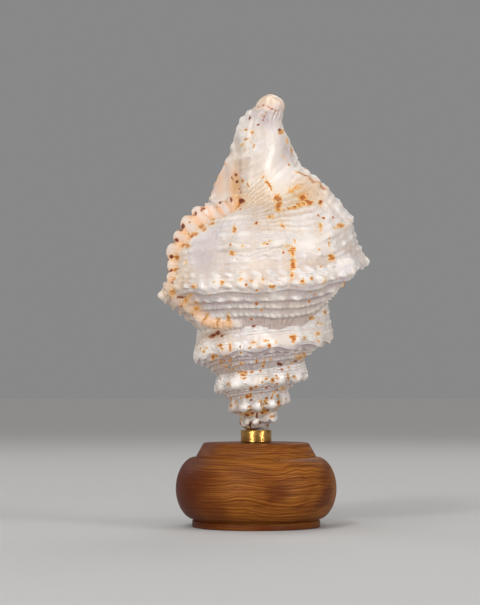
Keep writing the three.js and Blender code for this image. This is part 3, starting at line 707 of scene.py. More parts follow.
@dataclass(frozen=True)
class Ornament:
    """The fine relief: rows of beads, growth folds, the inner lip's folds, and the fan beside the canal.

    The fan's middle is a place in the photograph, in pixels, and its pitch is in degrees.
    """

    bead_lift: float = 1.25
    fan_middle: Span = (213, 228)
    fan_pitch: float = 3.8
    fan_height: float = 1.75
    fold_pitch: float = 7
    fold_height: float = 1.3
    bump_height: float = 1.3
    growth_waves: tuple[Triple, ...] = ((0.0055, 46, 2.5), (0.003, 110, 4), (0.002, 70, 22))

    def rows(self, turn: Array, across: Array, ramp_share: Array) -> tuple[Array, Array]:
        """Spiral rows of beads: a hump across each row, times a bead wave of uneven pace and size along it.

        Returns:
            The rows' heights in millimetres, and the thin grooves below the rows on the ramp.
        """
        total = np.zeros(np.broadcast_shapes(turn.shape, across.shape))
        grooves = np.zeros_like(total)
        scaled = np.where(across < 0, across * ramp_share, across)
        shoulder_growth = mix(0.3, 1, smooth((-1, -0.8), turn))
        for k, row in enumerate(RAMP_ROWS + SIDE_ROWS):
            middle = row.place * ramp_share if row.place < 0 else row.place
            offset = scaled - middle
            from_row = offset - 0.004 * NOISE.at(turn * 23, 9.7 * k + 0.5)
            pace = 0.25 * NOISE.at(turn * row.beads * 0.4, 3.1 * k)
            count = row.beads * turn + row.slant * offset * 8 + pace
            size = 0.72 + 0.28 * NOISE.at(np.round(count) * 1.37 + 0.5, 5.3 * k + 0.5)
            beads = (1 - row.gap * (1 - swing(count) ** 1.4)) * size
            tall = row.height * (shoulder_growth if row.place == SHOULDER_ROW else 1)
            total = np.maximum(total, tall * hump(from_row, row.width) * beads)
            if row.place < 0:
                grooves = np.maximum(grooves, hump(from_row + 2 * row.width, 0.55 * row.width))
        return self.bead_lift * total * GROWTH.radius(turn), grooves

    def fan(self, x: Array, y: Array) -> tuple[Array, Array]:
        """The cords that fan out from the varix's upper end: waves of the angle round their middle.

        Returns:
            Where the fan reaches, and the cords' heights in millimetres.
        """
        across, up = x - self.fan_middle[0], self.fan_middle[1] - y
        far = np.hypot(across, up)
        angle = np.degrees(np.arctan2(up, across))
        reach = band((22, 46), (90, 112), far) * band((-7, 1), (40, 54), angle) * smooth((-5, 5), across)
        cord = swing((angle + 1.2 * NOISE.at(far * 0.07, angle * 0.03)) / self.fan_pitch) ** 1.2
        tall = self.fan_height * (0.8 + 0.35 * NOISE.at(far * 0.25, np.round(angle / self.fan_pitch) * 3.7))
        return reach, tall * cord * np.clip(far / 60, 0, 1)

    def lip_folds(self, turn: Array, across: Array, height: Array) -> tuple[Array, Array]:
        """The folds on the inner lip: where they lie, and a slanting wave that is 1 on their crests."""
        wave = swing(height / self.fold_pitch + 5 * turn + 0.3 * NOISE.at(turn * 12, height * 0.06)) ** 1.5
        where = band((-0.84, -0.8), (-0.68, -0.6), turn) * smooth((0.05, 0.2), across)
        return where * (1 - smooth((248, 262), height)), wave

    def growth_folds(self, turn: Array, across: Array) -> Array:
        """Uneven folds along the growth: each wave's height is a share of the radius, at its two scales."""
        folds = sum(tall * NOISE.at(turn * along, across * over) for tall, along, over in self.growth_waves)
        return folds * GROWTH.radius(turn)


ORNAMENT = Ornament()


class Markings:
    """The markings, the painted shade and the fine relief of a sheet.

    Marks read from the photograph are laid on what faces its camera. Elsewhere orange streaks run along the
    growth where random values are high. Every cover lies between 0 and 1.
    """

    facing_span: Span = (-0.05, 0.12)
    depth_span: Span = (45, 15)
    spire_span: Span = (-1.1, -0.85)
    aperture_spans: tuple[Span, Span] = ((-0.9, -0.8), (-0.56, -0.5))
    tip_span: Span = (272, 274.5)
    glaze_span: Span = (0.12, 0.72)
    fan_span: Span = (0.3, 0.45)
    edge_wander: Span = (0.9, 0.7)
    edge_scale: float = 0.45
    full_relief: float = 0.022

    def __init__(self, sheet: Sheet) -> None:
        """Works out what faces the photograph's camera, and how fully places belong to the shell's parts."""
        turn, across, crest = sheet.turn, sheet.across, sheet.crest
        self.sheet = sheet
        self.height = sheet.places[..., 2]
        sight = np.array(VIEW.eye) - sheet.places
        sight /= np.linalg.norm(sight, axis=-1, keepdims=True)
        self.towards = (normals(sheet.places) * sight).sum(-1)
        self.near_side = smooth(self.depth_span, sheet.places[..., 1])
        self.facing = smooth(self.facing_span, self.towards) * self.near_side
        x, y = VIEW.pixels(sheet.places)
        u, v = x * self.edge_scale, y * self.edge_scale
        self.x = x + self.edge_wander[0] * NOISE.at(u, v)
        self.y = y + self.edge_wander[1] * NOISE.at(u + 99, v)
        self.spire = 1 - smooth(self.spire_span, turn)
        self.aperture = band(*self.aperture_spans, turn) * smooth((-0.2, 0.1), across)
        self.tip = smooth(self.tip_span, self.height + 1.2 * NOISE.at(turn * 9, 0.5))
        self.crown = swing(GROWTH.knobs * turn) ** 2 * hump(across - 0.08, 0.12) * self.spire
        self.clean = 1 - 0.7 * self.crown * (1 - smooth((-2.8, -2.4), turn))
        self.strip = VARIX.strip(crest)
        self.foot = VARIX.foot(crest)
        self.valley = VARIX.valley(crest.along)
        self.patches = smooth(self.glaze_span, self.seen(GLAZE_MARKS))
        glazed = self.patches + self.aperture + self.tip + 0.55 * self.strip + 0.85 * self.crown
        self.glaze = np.clip(glazed, 0, 1)
        self.rough = 1 - 0.9 * np.clip(self.glaze + 0.7 * self.strip, 0, 1)
        reach, self.cords = ORNAMENT.fan(self.x, self.y)
        self.fan = reach * self.facing * smooth(self.fan_span, across)
        self.inner_lip, self.fold = ORNAMENT.lip_folds(turn, across, self.height)
        self.furrows = 0.3 * self.inner_lip * (1 - self.fold)

    def seen(self, listed: tuple[Mark, ...]) -> Array:
        """The strongest of some marks at each place that faces the photograph's camera."""
        return strongest(0, *(mark.cover(self.x, self.y) for mark in listed)) * self.facing

    def peach(self) -> Array:
        """Peach along the varix, in the aperture, at the tip, in the last suture and along the outer lip."""
        flange = self.strip * (0.2 + 0.7 * self.valley) + 0.4 * self.foot
        cover = np.clip(self.seen(PEACH_MARKS) + flange + 0.4 * self.aperture, 0, 1)
        suture = 0.3 * smooth((-0.64, -0.72), self.sheet.across) * smooth((-1, -0.7), self.sheet.turn)
        return strongest(cover, 0.4 * self.tip, suture, 0.35 * hump(self.sheet.back, 4))

    def orange(self) -> Array:
        """Orange spots at the flange's foot and behind the lip, streaks along the growth, and marks."""
        turn, across = self.sheet.turn, self.sheet.across
        lip = 0.6 * VARIX.valley(self.height) * hump(self.sheet.back - 10, 4)
        pace = turn * 17 + 0.6 * NOISE.at(turn * 9, across * 4)
        streak = smooth((0.35, 0.9), NOISE.at(pace, across * 5 + 3))
        streak = 0.9 * streak * hump(NOISE.at(turn * 7, 8.5) - 0.6, 0.7) * (1 - 0.75 * self.facing)
        streak = streak * (1 - self.aperture) * (1 - 0.8 * self.crown)
        edges = 0.9 * self.valley * self.foot + lip
        cover = np.clip(strongest(edges, streak, self.seen(ORANGE_MARKS)), 0, 1) * self.clean
        return np.maximum(cover, self.furrows)

    def dark(self, orange: Array) -> Array:
        """Dark spots in the varix's valleys, broken lines behind the lip and below the tip, and marks."""
        turn, unseen = self.sheet.turn, 1 - self.facing
        spots = self.valley**2 * self.strip * hump(self.sheet.crest.beside, 2.6) * (1 - 0.7 * self.facing)
        from_line = self.sheet.back - 9 - 2 * NOISE.at(self.height * 0.25, 2.5)
        line = 0.6 * hump(from_line, 1.1) * smooth((-0.1, 0.1), self.sheet.across)
        line = line * smooth((-0.3, 0.3), NOISE.at(self.height * 0.12, 6.5)) * unseen
        jag = hump(self.height - 272.5 - 1.5 * NOISE.at(turn * 15, 4.5), 0.8)
        jag = 0.5 * jag * smooth((-0.4, 0.3), NOISE.at(turn * 11, 7.5)) * unseen
        within = 0.42 * orange * self.spire * self.facing
        return np.clip(strongest(spots, line, jag, within, self.seen(DARK_MARKS)), 0, 1) * self.clean

    def mauve_and_painted_shade(self, grooves: Array) -> Array:
        """Painted mauve shade on the ramps, most in the grooves below their rows and on the spire, and in
        the aperture; marks add mauve tint and painted shade.
        """
        ramp = (1 - smooth((-0.15, 0), self.sheet.across)) * smooth((-2.8, -1.4), self.sheet.turn)
        shade = self.seen(MAUVE_AND_PAINTED_SHADE_MARKS) + (0.12 + 0.12 * self.spire) * ramp + 0.25 * self.aperture
        # Painted shadow in the thin grooves below the ramp's rows.
        return np.clip(shade + 0.75 * grooves * (1 - self.strip), 0, 1)

    def tan(self) -> Array:
        """Tan over the fan's cords with painted shade between them, at the tip, in the inner lip's furrows,
        and marks that are partly painted shade.
        """
        between = (0.08 + 0.44 * (1 - np.clip(self.cords, 0, 1))) * (1 - self.patches)
        cover = np.clip(self.seen(TAN_AND_PAINTED_SHADE_MARKS) + self.fan * between + 0.12 * self.tip, 0, 1)
        return np.maximum(cover, self.furrows)

    def freckle(self) -> Array:
        """How densely small spots are scattered: less on the last whorl and where the surface is glazed."""
        dense = mix(1, 0.15, smooth((-3.4, -0.8), self.sheet.turn))
        return dense * (1 - self.glaze) * (1 - self.aperture) * (1 - 0.4 * self.facing)

    def relief(self, rows: Array, grooves: Array) -> Array:
        """The relief in millimetres: rows or the fan's cords, growth folds, marked bumps and lip folds."""
        turn, across = self.sheet.turn, self.sheet.across
        near_lip = hump(self.sheet.back, 14) * smooth((200, 215), self.height)
        raised = (rows - 0.45 * grooves) * (1 - self.fan) + self.fan * self.cords
        relief = (raised * (1 - near_lip) + ORNAMENT.growth_folds(turn, across)) * self.rough
        bumps = sum(mark.cover(self.x, self.y) for mark in BUMP_MARKS)
        relief = relief + ORNAMENT.bump_height * bumps * smooth((-0.5, -0.1), self.towards) * self.near_side
        return relief + ORNAMENT.fold_height * self.fold * self.inner_lip

    def layers(self) -> tuple[dict[str, Array], Array]:
        """What the finish reads at each place, by name, and the relief in millimetres."""
        turn, across = self.sheet.turn, self.sheet.across
        rows, grooves = ORNAMENT.rows(turn, across, self.sheet.ramp_share)
        relief = self.relief(rows, grooves)
        orange = self.orange()
        layers = {
            "turn": np.broadcast_to(turn, across.shape),
            "across": across,
            "relief": np.clip(relief / (self.full_relief * GROWTH.radius(turn)), -1, 2),
            "orange": orange,
            "dark": self.dark(orange),
            "mauve_and_painted_shade": self.mauve_and_painted_shade(grooves),
            "tan": self.tan(),
            "peach": self.peach(),
            "glaze": self.glaze,
            "freckle": self.freckle(),
        }
        return layers, relief


@dataclass(frozen=True)
class ShellForm:
    """The shell's surface, whorl by whorl. Pairs are a value on the spire and one on the last whorl."""

    wall: float = 3.6
    canal: float = 4.2
    axis: float = 0.6
    dive: float = 0.6
    dive_turns: float = 0.03
    ramp_hollow: Span = (0.07, 0.01)
    right_hollow: float = 0.035
    shoulder_reach: Span = (0.26, 0.16)
    shoulder_rounds: tuple[int, int] = (80, 24)
    regained: Span = (0.035, 0.014)
    regained_reach: Span = (0.25, 0.09)
    knob_height: Span = (0.12, 0.06)
    knob_width: Span = (0.2, 0.15)
    knob_lift: Span = (0.07, 0)
    second_knob: float = 1.6
    left_knob: float = 2.6
    plate_turn: float = -0.492
    plate_edge: tuple[Span, ...] = (
        (196, 0), (203, 30), (215, 31), (228, 27.7), (241, 21.8), (255, 15.8), (262, 0),
    )
    hollow_turns: Span = (-0.407, -0.43)
    hollow_depth: float = 8
    flare_out: float = 18
    flare_back: float = 9
    rim_rings: int = 6
    rim_angle: float = 86
    open_turns: Span = (-0.6, -0.5)
    neck_heights: Span = (212, 246)
    inner_pull: float = 0.6
    inner_reach: float = 0.22
    inner_rounds: int = 60
    tip_place: float = 9.4
    tip_half: float = 6
    tip_sink: float = 2
    tooth_back: float = 9
    tooth_length: float = 5
    tooth_pitch: float = 8.2
    tooth_height: float = 2.2

    def plain(self, turn: Array, whorls: Whorls) -> tuple[Array, Array, Array]:
        """The plain section of each ring, from the suture over the shoulder to its top.

        The ramp is straight from the suture to the shoulder and hollowed by a half wave; above the shoulder
        the wall follows its radius curve. The shoulder is rounded off and gets part of its radius back.

        Returns:
            Radii, heights and places across the whorl.
        """
        radius, shoulder = GROWTH.radius(turn), GROWTH.height(turn)
        share = np.arange(whorls.ramp)[None] / whorls.ramp
        hollow = mix(*self.ramp_hollow, smooth((-1.2, -0.4), turn)) + self.right_hollow * hump(turn, 0.1)
        hollow = hollow * radius * np.sin(math.pi * share)
        low = GROWTH.suture_share * GROWTH.radius(turn - 1)
        ramp_radius = mix(low, radius, share) - 0.6 * hollow
        ramp_height = mix(GROWTH.suture(turn) - 0.03 * radius, shoulder, share) + hollow
        top = GROWTH.tip_height if whorls.last else GROWTH.hidden_top(turn)
        side_height = mix(shoulder, top, (np.arange(whorls.side + 1)[None] / whorls.side) ** 1.08)
        side_radius = GROWTH.side_radius(turn, side_height)
        ramp_across = np.broadcast_to(share - 1, ramp_radius.shape)
        across = np.concatenate([ramp_across, (side_height - shoulder) / radius], 1)
        ramp, side = np.stack([ramp_radius, ramp_height], -1), np.stack([side_radius, side_height], -1)
        pull = 0.5 * hump(across, self.shoulder_reach[whorls.last])
        section = relaxed(np.concatenate([ramp, side], 1), pull, self.shoulder_rounds[whorls.last])
        regained = self.regained[whorls.last] * radius * hump(across, self.regained_reach[whorls.last])
        return section[..., 0] + regained, section[..., 1], across

    def knobs(self, turn: Array, across: Array, above: Array) -> Array:
        """Knobs on the shoulder, a little above it on the spire, and a weaker row: waves along the growth.

        Args:
            turn: The rings' turns.
            across: Places across the whorl.
            above: Distances from the shoulder, negative on the ramp.

        Returns:
            How far the knobs push the wall out, in millimetres.
        """
        radius = GROWTH.radius(turn)
        wave = swing(GROWTH.knobs * turn) ** 1.3 - 0.75
        tall = mix(*self.knob_height, smooth((-1.6, -0.8), turn)) * radius
        tall = tall * (1 - 0.4 * hump(turn + 0.24, 0.12))
        last = smooth((-1.2, -0.8), turn)
        place = above / radius - mix(*self.knob_lift, last)
        second = self.second_knob * swing(GROWTH.knobs * (turn + 0.04)) * hump(across - 0.42, 0.06)
        left = self.left_knob * hump(turn - GROWTH.left_turn, 0.04) * hump(across - 0.13, 0.08)
        main = tall * wave * hump(place, mix(*self.knob_width, last))
        return main + second * smooth((-1.1, -0.7), turn) + left

    def inner_lip(self, turn: Array, radius: Array, height: Array) -> Array:
        """The plate that stands out beside the canal, gentle towards the aperture, and the hollow by it."""
        tall = band((196, 210), (244, 258), height)
        middle = mix(*self.hollow_turns, smooth((212, 242), height))
        hollow = self.hollow_depth * hump(turn - middle, 0.06) * tall
        side = turn - self.plate_turn
        face = np.where(side < 0, smooth((-0.2, 0), side) ** 2, 1 - smooth((0, 0.024), side))
        return np.maximum(through(self.plate_edge, height) - radius, 0) * face - hollow

    def flare(self, turn: Array, height: Array) -> tuple[Array, Array]:
        """How far the outer lip flares, by the distance back from its rim, and that distance."""
        back = TAU * (GROWTH.lip_turn - turn) * GROWTH.radius(turn)
        upright = mix(0.45, 1, smooth((180, 205), height)) - 0.85 * smooth((214, 240), height)
        scallop = 1 - 0.06 * (1 - swing(height / VARIX.pitch)) * (1 - smooth((200, 215), height))
        upright = upright * (1 - smooth((264, 280), height))
        return self.flare_out * upright * scallop * hump(back, self.flare_back), back

    def skin(self, whorls: Whorls) -> tuple[Skin, Skin | None]:
        """The outer surface of a stretch of whorls, and the inside of its wall where it is the last whorl.

        Knobs, flange, inner lip and flare push the plain section out along its own normal. The fine relief
        then lies on the surface's normal in space.
        """
        turn = whorls.turns()[:, None]
        radius, height, across = self.plain(turn, whorls)
        run = np.stack([np.gradient(height, axis=1), -np.gradient(radius, axis=1)], -1)
        run /= np.linalg.norm(run, axis=-1, keepdims=True)
        shoulder, shoulder_radius = GROWTH.height(turn), GROWTH.radius(turn)
        below = np.hypot(shoulder_radius - radius, shoulder - height)
        knobs = self.knobs(turn, across, np.where(height < shoulder, -below, height - shoulder))
        crest = Crest.far(height.shape)
        if whorls.last:
            crest = VARIX.seen_from(GROWTH.place(turn, radius, height), turn, height)
        flange, lean = VARIX.flange(crest)
        lip, back = self.flare(turn, height)
        out = knobs + flange + self.inner_lip(turn, radius, height) + lip
        outer_radius = radius + out * run[..., 0] - self.dive * self.seam(turn, whorls)
        outer_height = height + out * run[..., 1]
        leaning = turn - lean / (TAU * np.maximum(outer_radius, 1))
        places = self.domed(GROWTH.place(leaning, outer_radius, outer_height))
        low = GROWTH.suture_share * GROWTH.radius(turn - 1)
        ramp_share = np.hypot(shoulder_radius - low, shoulder - GROWTH.suture(turn)) / shoulder_radius
        sheet = Sheet(turn, across, places, ramp_share, crest, back)
        layers, relief = Markings(sheet).layers()
        outer = Skin(places + normals(places) * relief[..., None], layers)
        return outer, self.inside(sheet, outer_radius, outer_height, run) if whorls.last else None

    def domed(self, places: Array) -> Array:
        """Rounds the canal's tip: its sides sink with a power of their distance from its highest place."""
        side = np.sqrt(((places[..., 0] - self.tip_place) / self.tip_half) ** 2 + 0.04)
        sink = self.tip_sink * side**1.3 * smooth((275, 285), places[..., 2])
        return places - sink[..., None] * np.array((0, 0, 1))

    def seam(self, turn: Array, whorls: Whorls) -> Array:
        """How fully a stretch dives under its neighbours, at its start and where another follows it."""
        start = 1 - smooth((whorls.start, whorls.start + self.dive_turns), turn)
        if whorls.last:
            return start
        end = smooth((whorls.end - self.dive_turns, whorls.end), turn)
        return start * (0 if whorls.start == GROWTH.first_turn else 0.4) + end

    def inside(self, sheet: Sheet, radius: Array, height: Array, run: Array) -> Skin:
        """The inside of the last whorl's wall.

        It lies a wall's thickness inside the outer surface, closes to the canal's bore along the neck and to
        the axis where the whorl is still solid, and has a row of teeth behind the rim.

        Args:
            sheet: The outer surface.
            radius: The outer surface's radii.
            height: Its heights.
            run: The outward direction of each place in its ring's section.

        Returns:
            The inner grid, in the outer one's order.
        """
        turn, across, back = sheet.turn, sheet.across, sheet.back
        opened = smooth(self.open_turns, turn)
        narrow = smooth(self.neck_heights, height)
        inset = np.maximum(radius - self.wall * run[..., 0], self.canal)
        inner_radius = mix(self.axis, mix(inset, self.canal, narrow), opened)
        inner_height = height - opened * self.wall * run[..., 1] * (1 - narrow)
        pull = self.inner_pull * hump(across, self.inner_reach) * opened * (1 - narrow)
        places = relaxed(GROWTH.place(turn, inner_radius, inner_height), pull, self.inner_rounds)
        steps = np.linalg.norm(np.diff(places[-1], axis=0), axis=-1)
        edge = np.concatenate([[0], np.cumsum(steps)])[None]
        tooth = swing(edge / self.tooth_pitch + 0.25 * NOISE.at(edge * 0.1, 1.5)) ** 1.3
        teeth = tooth * hump(back - self.tooth_back, self.tooth_length) * (1 - narrow)
        teeth = teeth * opened * smooth((4, 14), edge)
        places = self.domed(places - self.tooth_height * teeth[..., None] * normals(places))
        shape = places.shape[:-1]
        deep = np.broadcast_to(1 - np.exp(-np.abs(back) / 30), shape)
        layers = {
            "turn": np.broadcast_to(turn, shape),
            "across": across,
            "relief": np.full(shape, 0.8),
            "orange": 0.3 * hump(back - 11, 5) * (1 - tooth) * (1 - narrow),
            "dark": np.zeros(shape),
            # Painted shade that grows deeper inside the aperture.
            "mauve_and_painted_shade": 0.05 * deep,
            "tan": 0.3 * hump(back - self.tooth_back, 8) * (1 - teeth) * (1 - narrow),
            "peach": mix(0.75, 0.35, deep) * (1 - 0.8 * teeth),
            "glaze": np.ones(shape),
            "freckle": np.zeros(shape),
        }
        return Skin(places, layers)

    def rim(self, outer: Skin, inner: Skin) -> tuple[Skin, Skin]:
        """The rounded rim: rings whose half thickness shrinks by a cosine as they move forward by a sine."""
        middle = (outer.places[-1] + inner.places[-1]) / 2
        half = (outer.places[-1] - inner.places[-1]) / 2
        forward = outer.places[-1] - outer.places[-2]
        forward /= np.linalg.norm(forward, axis=-1, keepdims=True)
        thick = np.minimum(np.linalg.norm(half, axis=-1, keepdims=True), self.wall)
        angle = np.linspace(0, math.radians(self.rim_angle), self.rim_rings + 1)[1:, None, None]
        shift = middle + forward * thick * np.sin(angle)
        made = []
        for skin, sign in ((outer, 1), (inner, -1)):
            places = np.concatenate([skin.places, shift + sign * half * np.cos(angle)])
            layers = {}
            for name, values in skin.layers.items():
                layers[name] = np.concatenate([values, np.repeat(values[-1:], self.rim_rings, 0)])
            layers["glaze"][-self.rim_rings:] = 1
            made.append(Skin(places, layers))
        return made[0], made[1]


@dataclass
class MeshParts:
    """Places, quads, caps and attribute layers of a mesh that is put together from closed tubes."""

    places: list[Array]
    quads: list[Array]
    caps: list[Array]
    layers: dict[str, list[Array]]
    count: int = 0

    def add(self, skin: Skin, caps: list[Array]) -> None:
        """Adds a tube through a grid's rings, joined round each ring and on to the next, with caps."""
        rings, size = skin.places.shape[:2]
        index = np.arange(rings * size).reshape(rings, size) + self.count
        after = np.roll(index, -1, axis=1)
        quads = np.stack([index[:-1], index[1:], after[1:], after[:-1]], -1)
        self.places.append(skin.places.reshape(-1, 3))
        self.quads.append(quads.reshape(-1, 4))
        self.caps.extend(cap + self.count for cap in caps)
        for name, values in skin.layers.items():
            self.layers.setdefault(name, []).append(np.asarray(values).reshape(-1))
        self.count += rings * size

    def object(self, name: str) -> bpy.types.Object:
        """Makes the mesh object."""
        faces = np.concatenate(self.quads).tolist() + [cap.tolist() for cap in self.caps]
        layers = {layer: np.concatenate(values) for layer, values in self.layers.items()}
        return mesh_object(name, np.concatenate(self.places), faces, layers)


def mesh_object(name: str, places: Array, faces: list, layers: dict[str, Array]) -> bpy.types.Object:
    """Makes a smooth mesh object from places in millimetres, its faces and its attribute layers."""
    mesh = bpy.data.meshes.new(name)
    mesh.from_pydata((places * MM).tolist(), [], faces)
    for layer, values in layers.items():
        attribute = mesh.attributes.new(layer, "FLOAT", "POINT")
        attribute.data.foreach_set("value", np.ascontiguousarray(values, np.float32))
    mesh.shade_smooth()
    mesh.update()
    made = bpy.data.objects.new(name, mesh)
    bpy.context.scene.collection.objects.link(made)
    return made


def turned(name: str, profile: Array, sides: int) -> bpy.types.Object:
    """A solid of revolution round Z: each profile point's radius times a circle, with a point at either end.

    Args:
        name: The object's name.
        profile: Radii and heights from the lower end on the axis to the upper end on the axis.
        sides: Points round the circle.

    Returns:
        The mesh object, closed at both poles.
    """
    angle = np.arange(sides) * TAU / sides
    rings = profile[1:-1]
    radius, height = rings[:, :1], rings[:, 1:] + 0 * angle
    around = np.stack([radius * np.cos(angle), radius * np.sin(angle), height], -1)
    places = np.concatenate([around.reshape(-1, 3), [[0, 0, profile[0, 1]], [0, 0, profile[-1, 1]]]])
    index = np.arange(len(rings) * sides).reshape(len(rings), sides)
    after = np.roll(index, -1, axis=1)
    quads = np.stack([index[:-1], after[:-1], after[1:], index[1:]], -1).reshape(-1, 4)
    low, high = index.size, index.size + 1
    bottom = np.stack([after[0], index[0], np.full(sides, low)], -1)
    top = np.stack([index[-1], after[-1], np.full(sides, high)], -1)
    return mesh_object(name, places, quads.tolist() + bottom.tolist() + top.tolist(), {})


def filleted(corners: list[tuple[float, float, float]], steps: int = 5) -> Array:
    """Rounds a profile's corners: each becomes a curve between points on its two sides.

    Args:
        corners: Radius, height and rounding of each corner; a rounding of 0 keeps the point.
        steps: Pieces in each rounding.

    Returns:
        The profile's points.
    """
    points = np.array([corner[:2] for corner in corners], float)
    rounding = np.array([corner[2] for corner in corners], float)
    share = np.linspace(0, 1, steps + 1)[:, None]
    made = [points[:1]]
    for k in range(1, len(points) - 1):
        if rounding[k] == 0:
            made.append(points[k : k + 1])
            continue
        before, after = points[k - 1] - points[k], points[k + 1] - points[k]
        start = points[k] + before * min(rounding[k] / np.linalg.norm(before), 0.5)
        end = points[k] + after * min(rounding[k] / np.linalg.norm(after), 0.5)
        made.append((1 - share) ** 2 * start + 2 * share * (1 - share) * points[k] + share**2 * end)
    made.append(points[-1:])
    return np.concatenate(made)


class Graph:
    """A material's nodes, with short calls that add a node and join its inputs."""

    def __init__(self, name: str, **shader: object) -> None:
        """Makes the material with its shader, whose even values are set on its own sockets."""
        self.material = bpy.data.materials.new(name)
        self.material.use_nodes = True
        self.tree = self.material.node_tree
        self.tree.nodes.clear()
        output = self.tree.nodes.new("ShaderNodeOutputMaterial")
        self.shader = self.tree.nodes.new("ShaderNodeBsdfPrincipled")
        self.tree.links.new(self.shader.outputs[0], output.inputs[0])
        for socket, value in shader.items():
            self.feed(socket.replace("_", " "), value)

    def feed(self, name: str, value: object) -> None:
        """Joins one of the shader's inputs to a socket, or gives it a value."""
        self.set(self.shader.inputs[name], value)

    def set(self, socket: Socket, value: object) -> None:
        """Joins a socket to another, or gives it a value."""
        if isinstance(value, Socket):
            self.tree.links.new(value, socket)
        elif isinstance(value, tuple) and len(value) == 3 and socket.type == "RGBA":
            socket.default_value = (*value, 1)
        else:
            socket.default_value = value

    def node(self, kind: str, inputs: dict[int | str, object], **settings: object) -> bpy.types.Node:
        """Adds a node, with its settings and its inputs by name or number."""
        node = self.tree.nodes.new(f"ShaderNode{kind}")
        for name, value in settings.items():
            setattr(node, name, value)
        for socket, value in inputs.items():
            self.set(node.inputs[socket], value)
        return node

    def layer(self, name: str) -> Socket:
        """One of the mesh's own layers."""
        return self.node("Attribute", {}, attribute_name=name).outputs["Fac"]

    def here(self) -> Socket:
        """The place on the object, in metres."""
        return self.node("TexCoord", {}).outputs["Object"]

    def stretched(self, scale: Triple) -> Socket:
        """The place on the object, times a scale along each axis."""
        return self.node("Mapping", {"Vector": self.here(), "Scale": Vector(scale)}).outputs[0]

    def noise(self, scale: float, detail: float = 3, where: Socket | None = None, **inputs: float) -> Socket:
        """Noise round 0.5 at a scale in waves a metre, or a unit of another place."""
        values = {"Vector": where or self.here(), "Scale": scale, "Detail": detail, **inputs}
        return self.node("TexNoise", values).outputs[0]

    def lined(self, value: Socket, scale: float, detail: float) -> Socket:
        """Noise along one value only."""
        inputs = {"W": value, "Scale": scale, "Detail": detail}
        return self.node("TexNoise", inputs, noise_dimensions="1D").outputs[0]

    def sheet_noise(self, turn_scale: float, across_scale: float, detail: float) -> Socket:
        """Noise over the shell's own turn and place across the whorl."""
        along = self.times(self.layer("turn"), turn_scale)
        across = self.times(self.layer("across"), across_scale)
        return self.noise(1.0, detail, self.node("CombineXYZ", {0: along, 1: across}).outputs[0])

    def math(self, operation: str, one: object, other: object = 0.0) -> Socket:
        """An operation on two values, or on the first of them."""
        return self.node("Math", {0: one, 1: other}, operation=operation).outputs[0]

    def times(self, *values: object) -> Socket:
        """The product of some values."""
        return reduce(lambda one, other: self.math("MULTIPLY", one, other), values)

    def plus(self, one: object, other: object) -> Socket:
        """The sum of two values."""
        return self.math("ADD", one, other)

    def step(self, value: object, low: float, high: float) -> Socket:
        """From 0 to 1 as a value crosses a span."""
        inputs = {"Value": value, "From Min": low, "From Max": high}
        return self.node("MapRange", inputs, interpolation_type="SMOOTHSTEP").outputs[0]

    def ranged(self, value: object, low: float, high: float) -> Socket:
        """A value between 0 and 1 brought between two others."""
        return self.node("MapRange", {"Value": value, "To Min": low, "To Max": high}).outputs[0]

    def tinted(self, colour: object, tint: Colour, share: Socket, most: float = 1) -> Socket:
        """A colour with a tint laid over it by a share, and by at most so much."""
        cover = share if most == 1 else self.times(share, most)
        return self.node("Mix", {0: cover, 6: colour, 7: tint}, data_type="RGBA").outputs[2]

    def bump(self, height: object, distance: float, normal: Socket | None = None) -> Socket:
        """Bends the surface's normal by a height of up to a distance in metres."""
        inputs = {"Height": height, "Distance": distance}
        if normal is not None:
            inputs["Normal"] = normal
        return self.node("Bump", inputs).outputs[0]


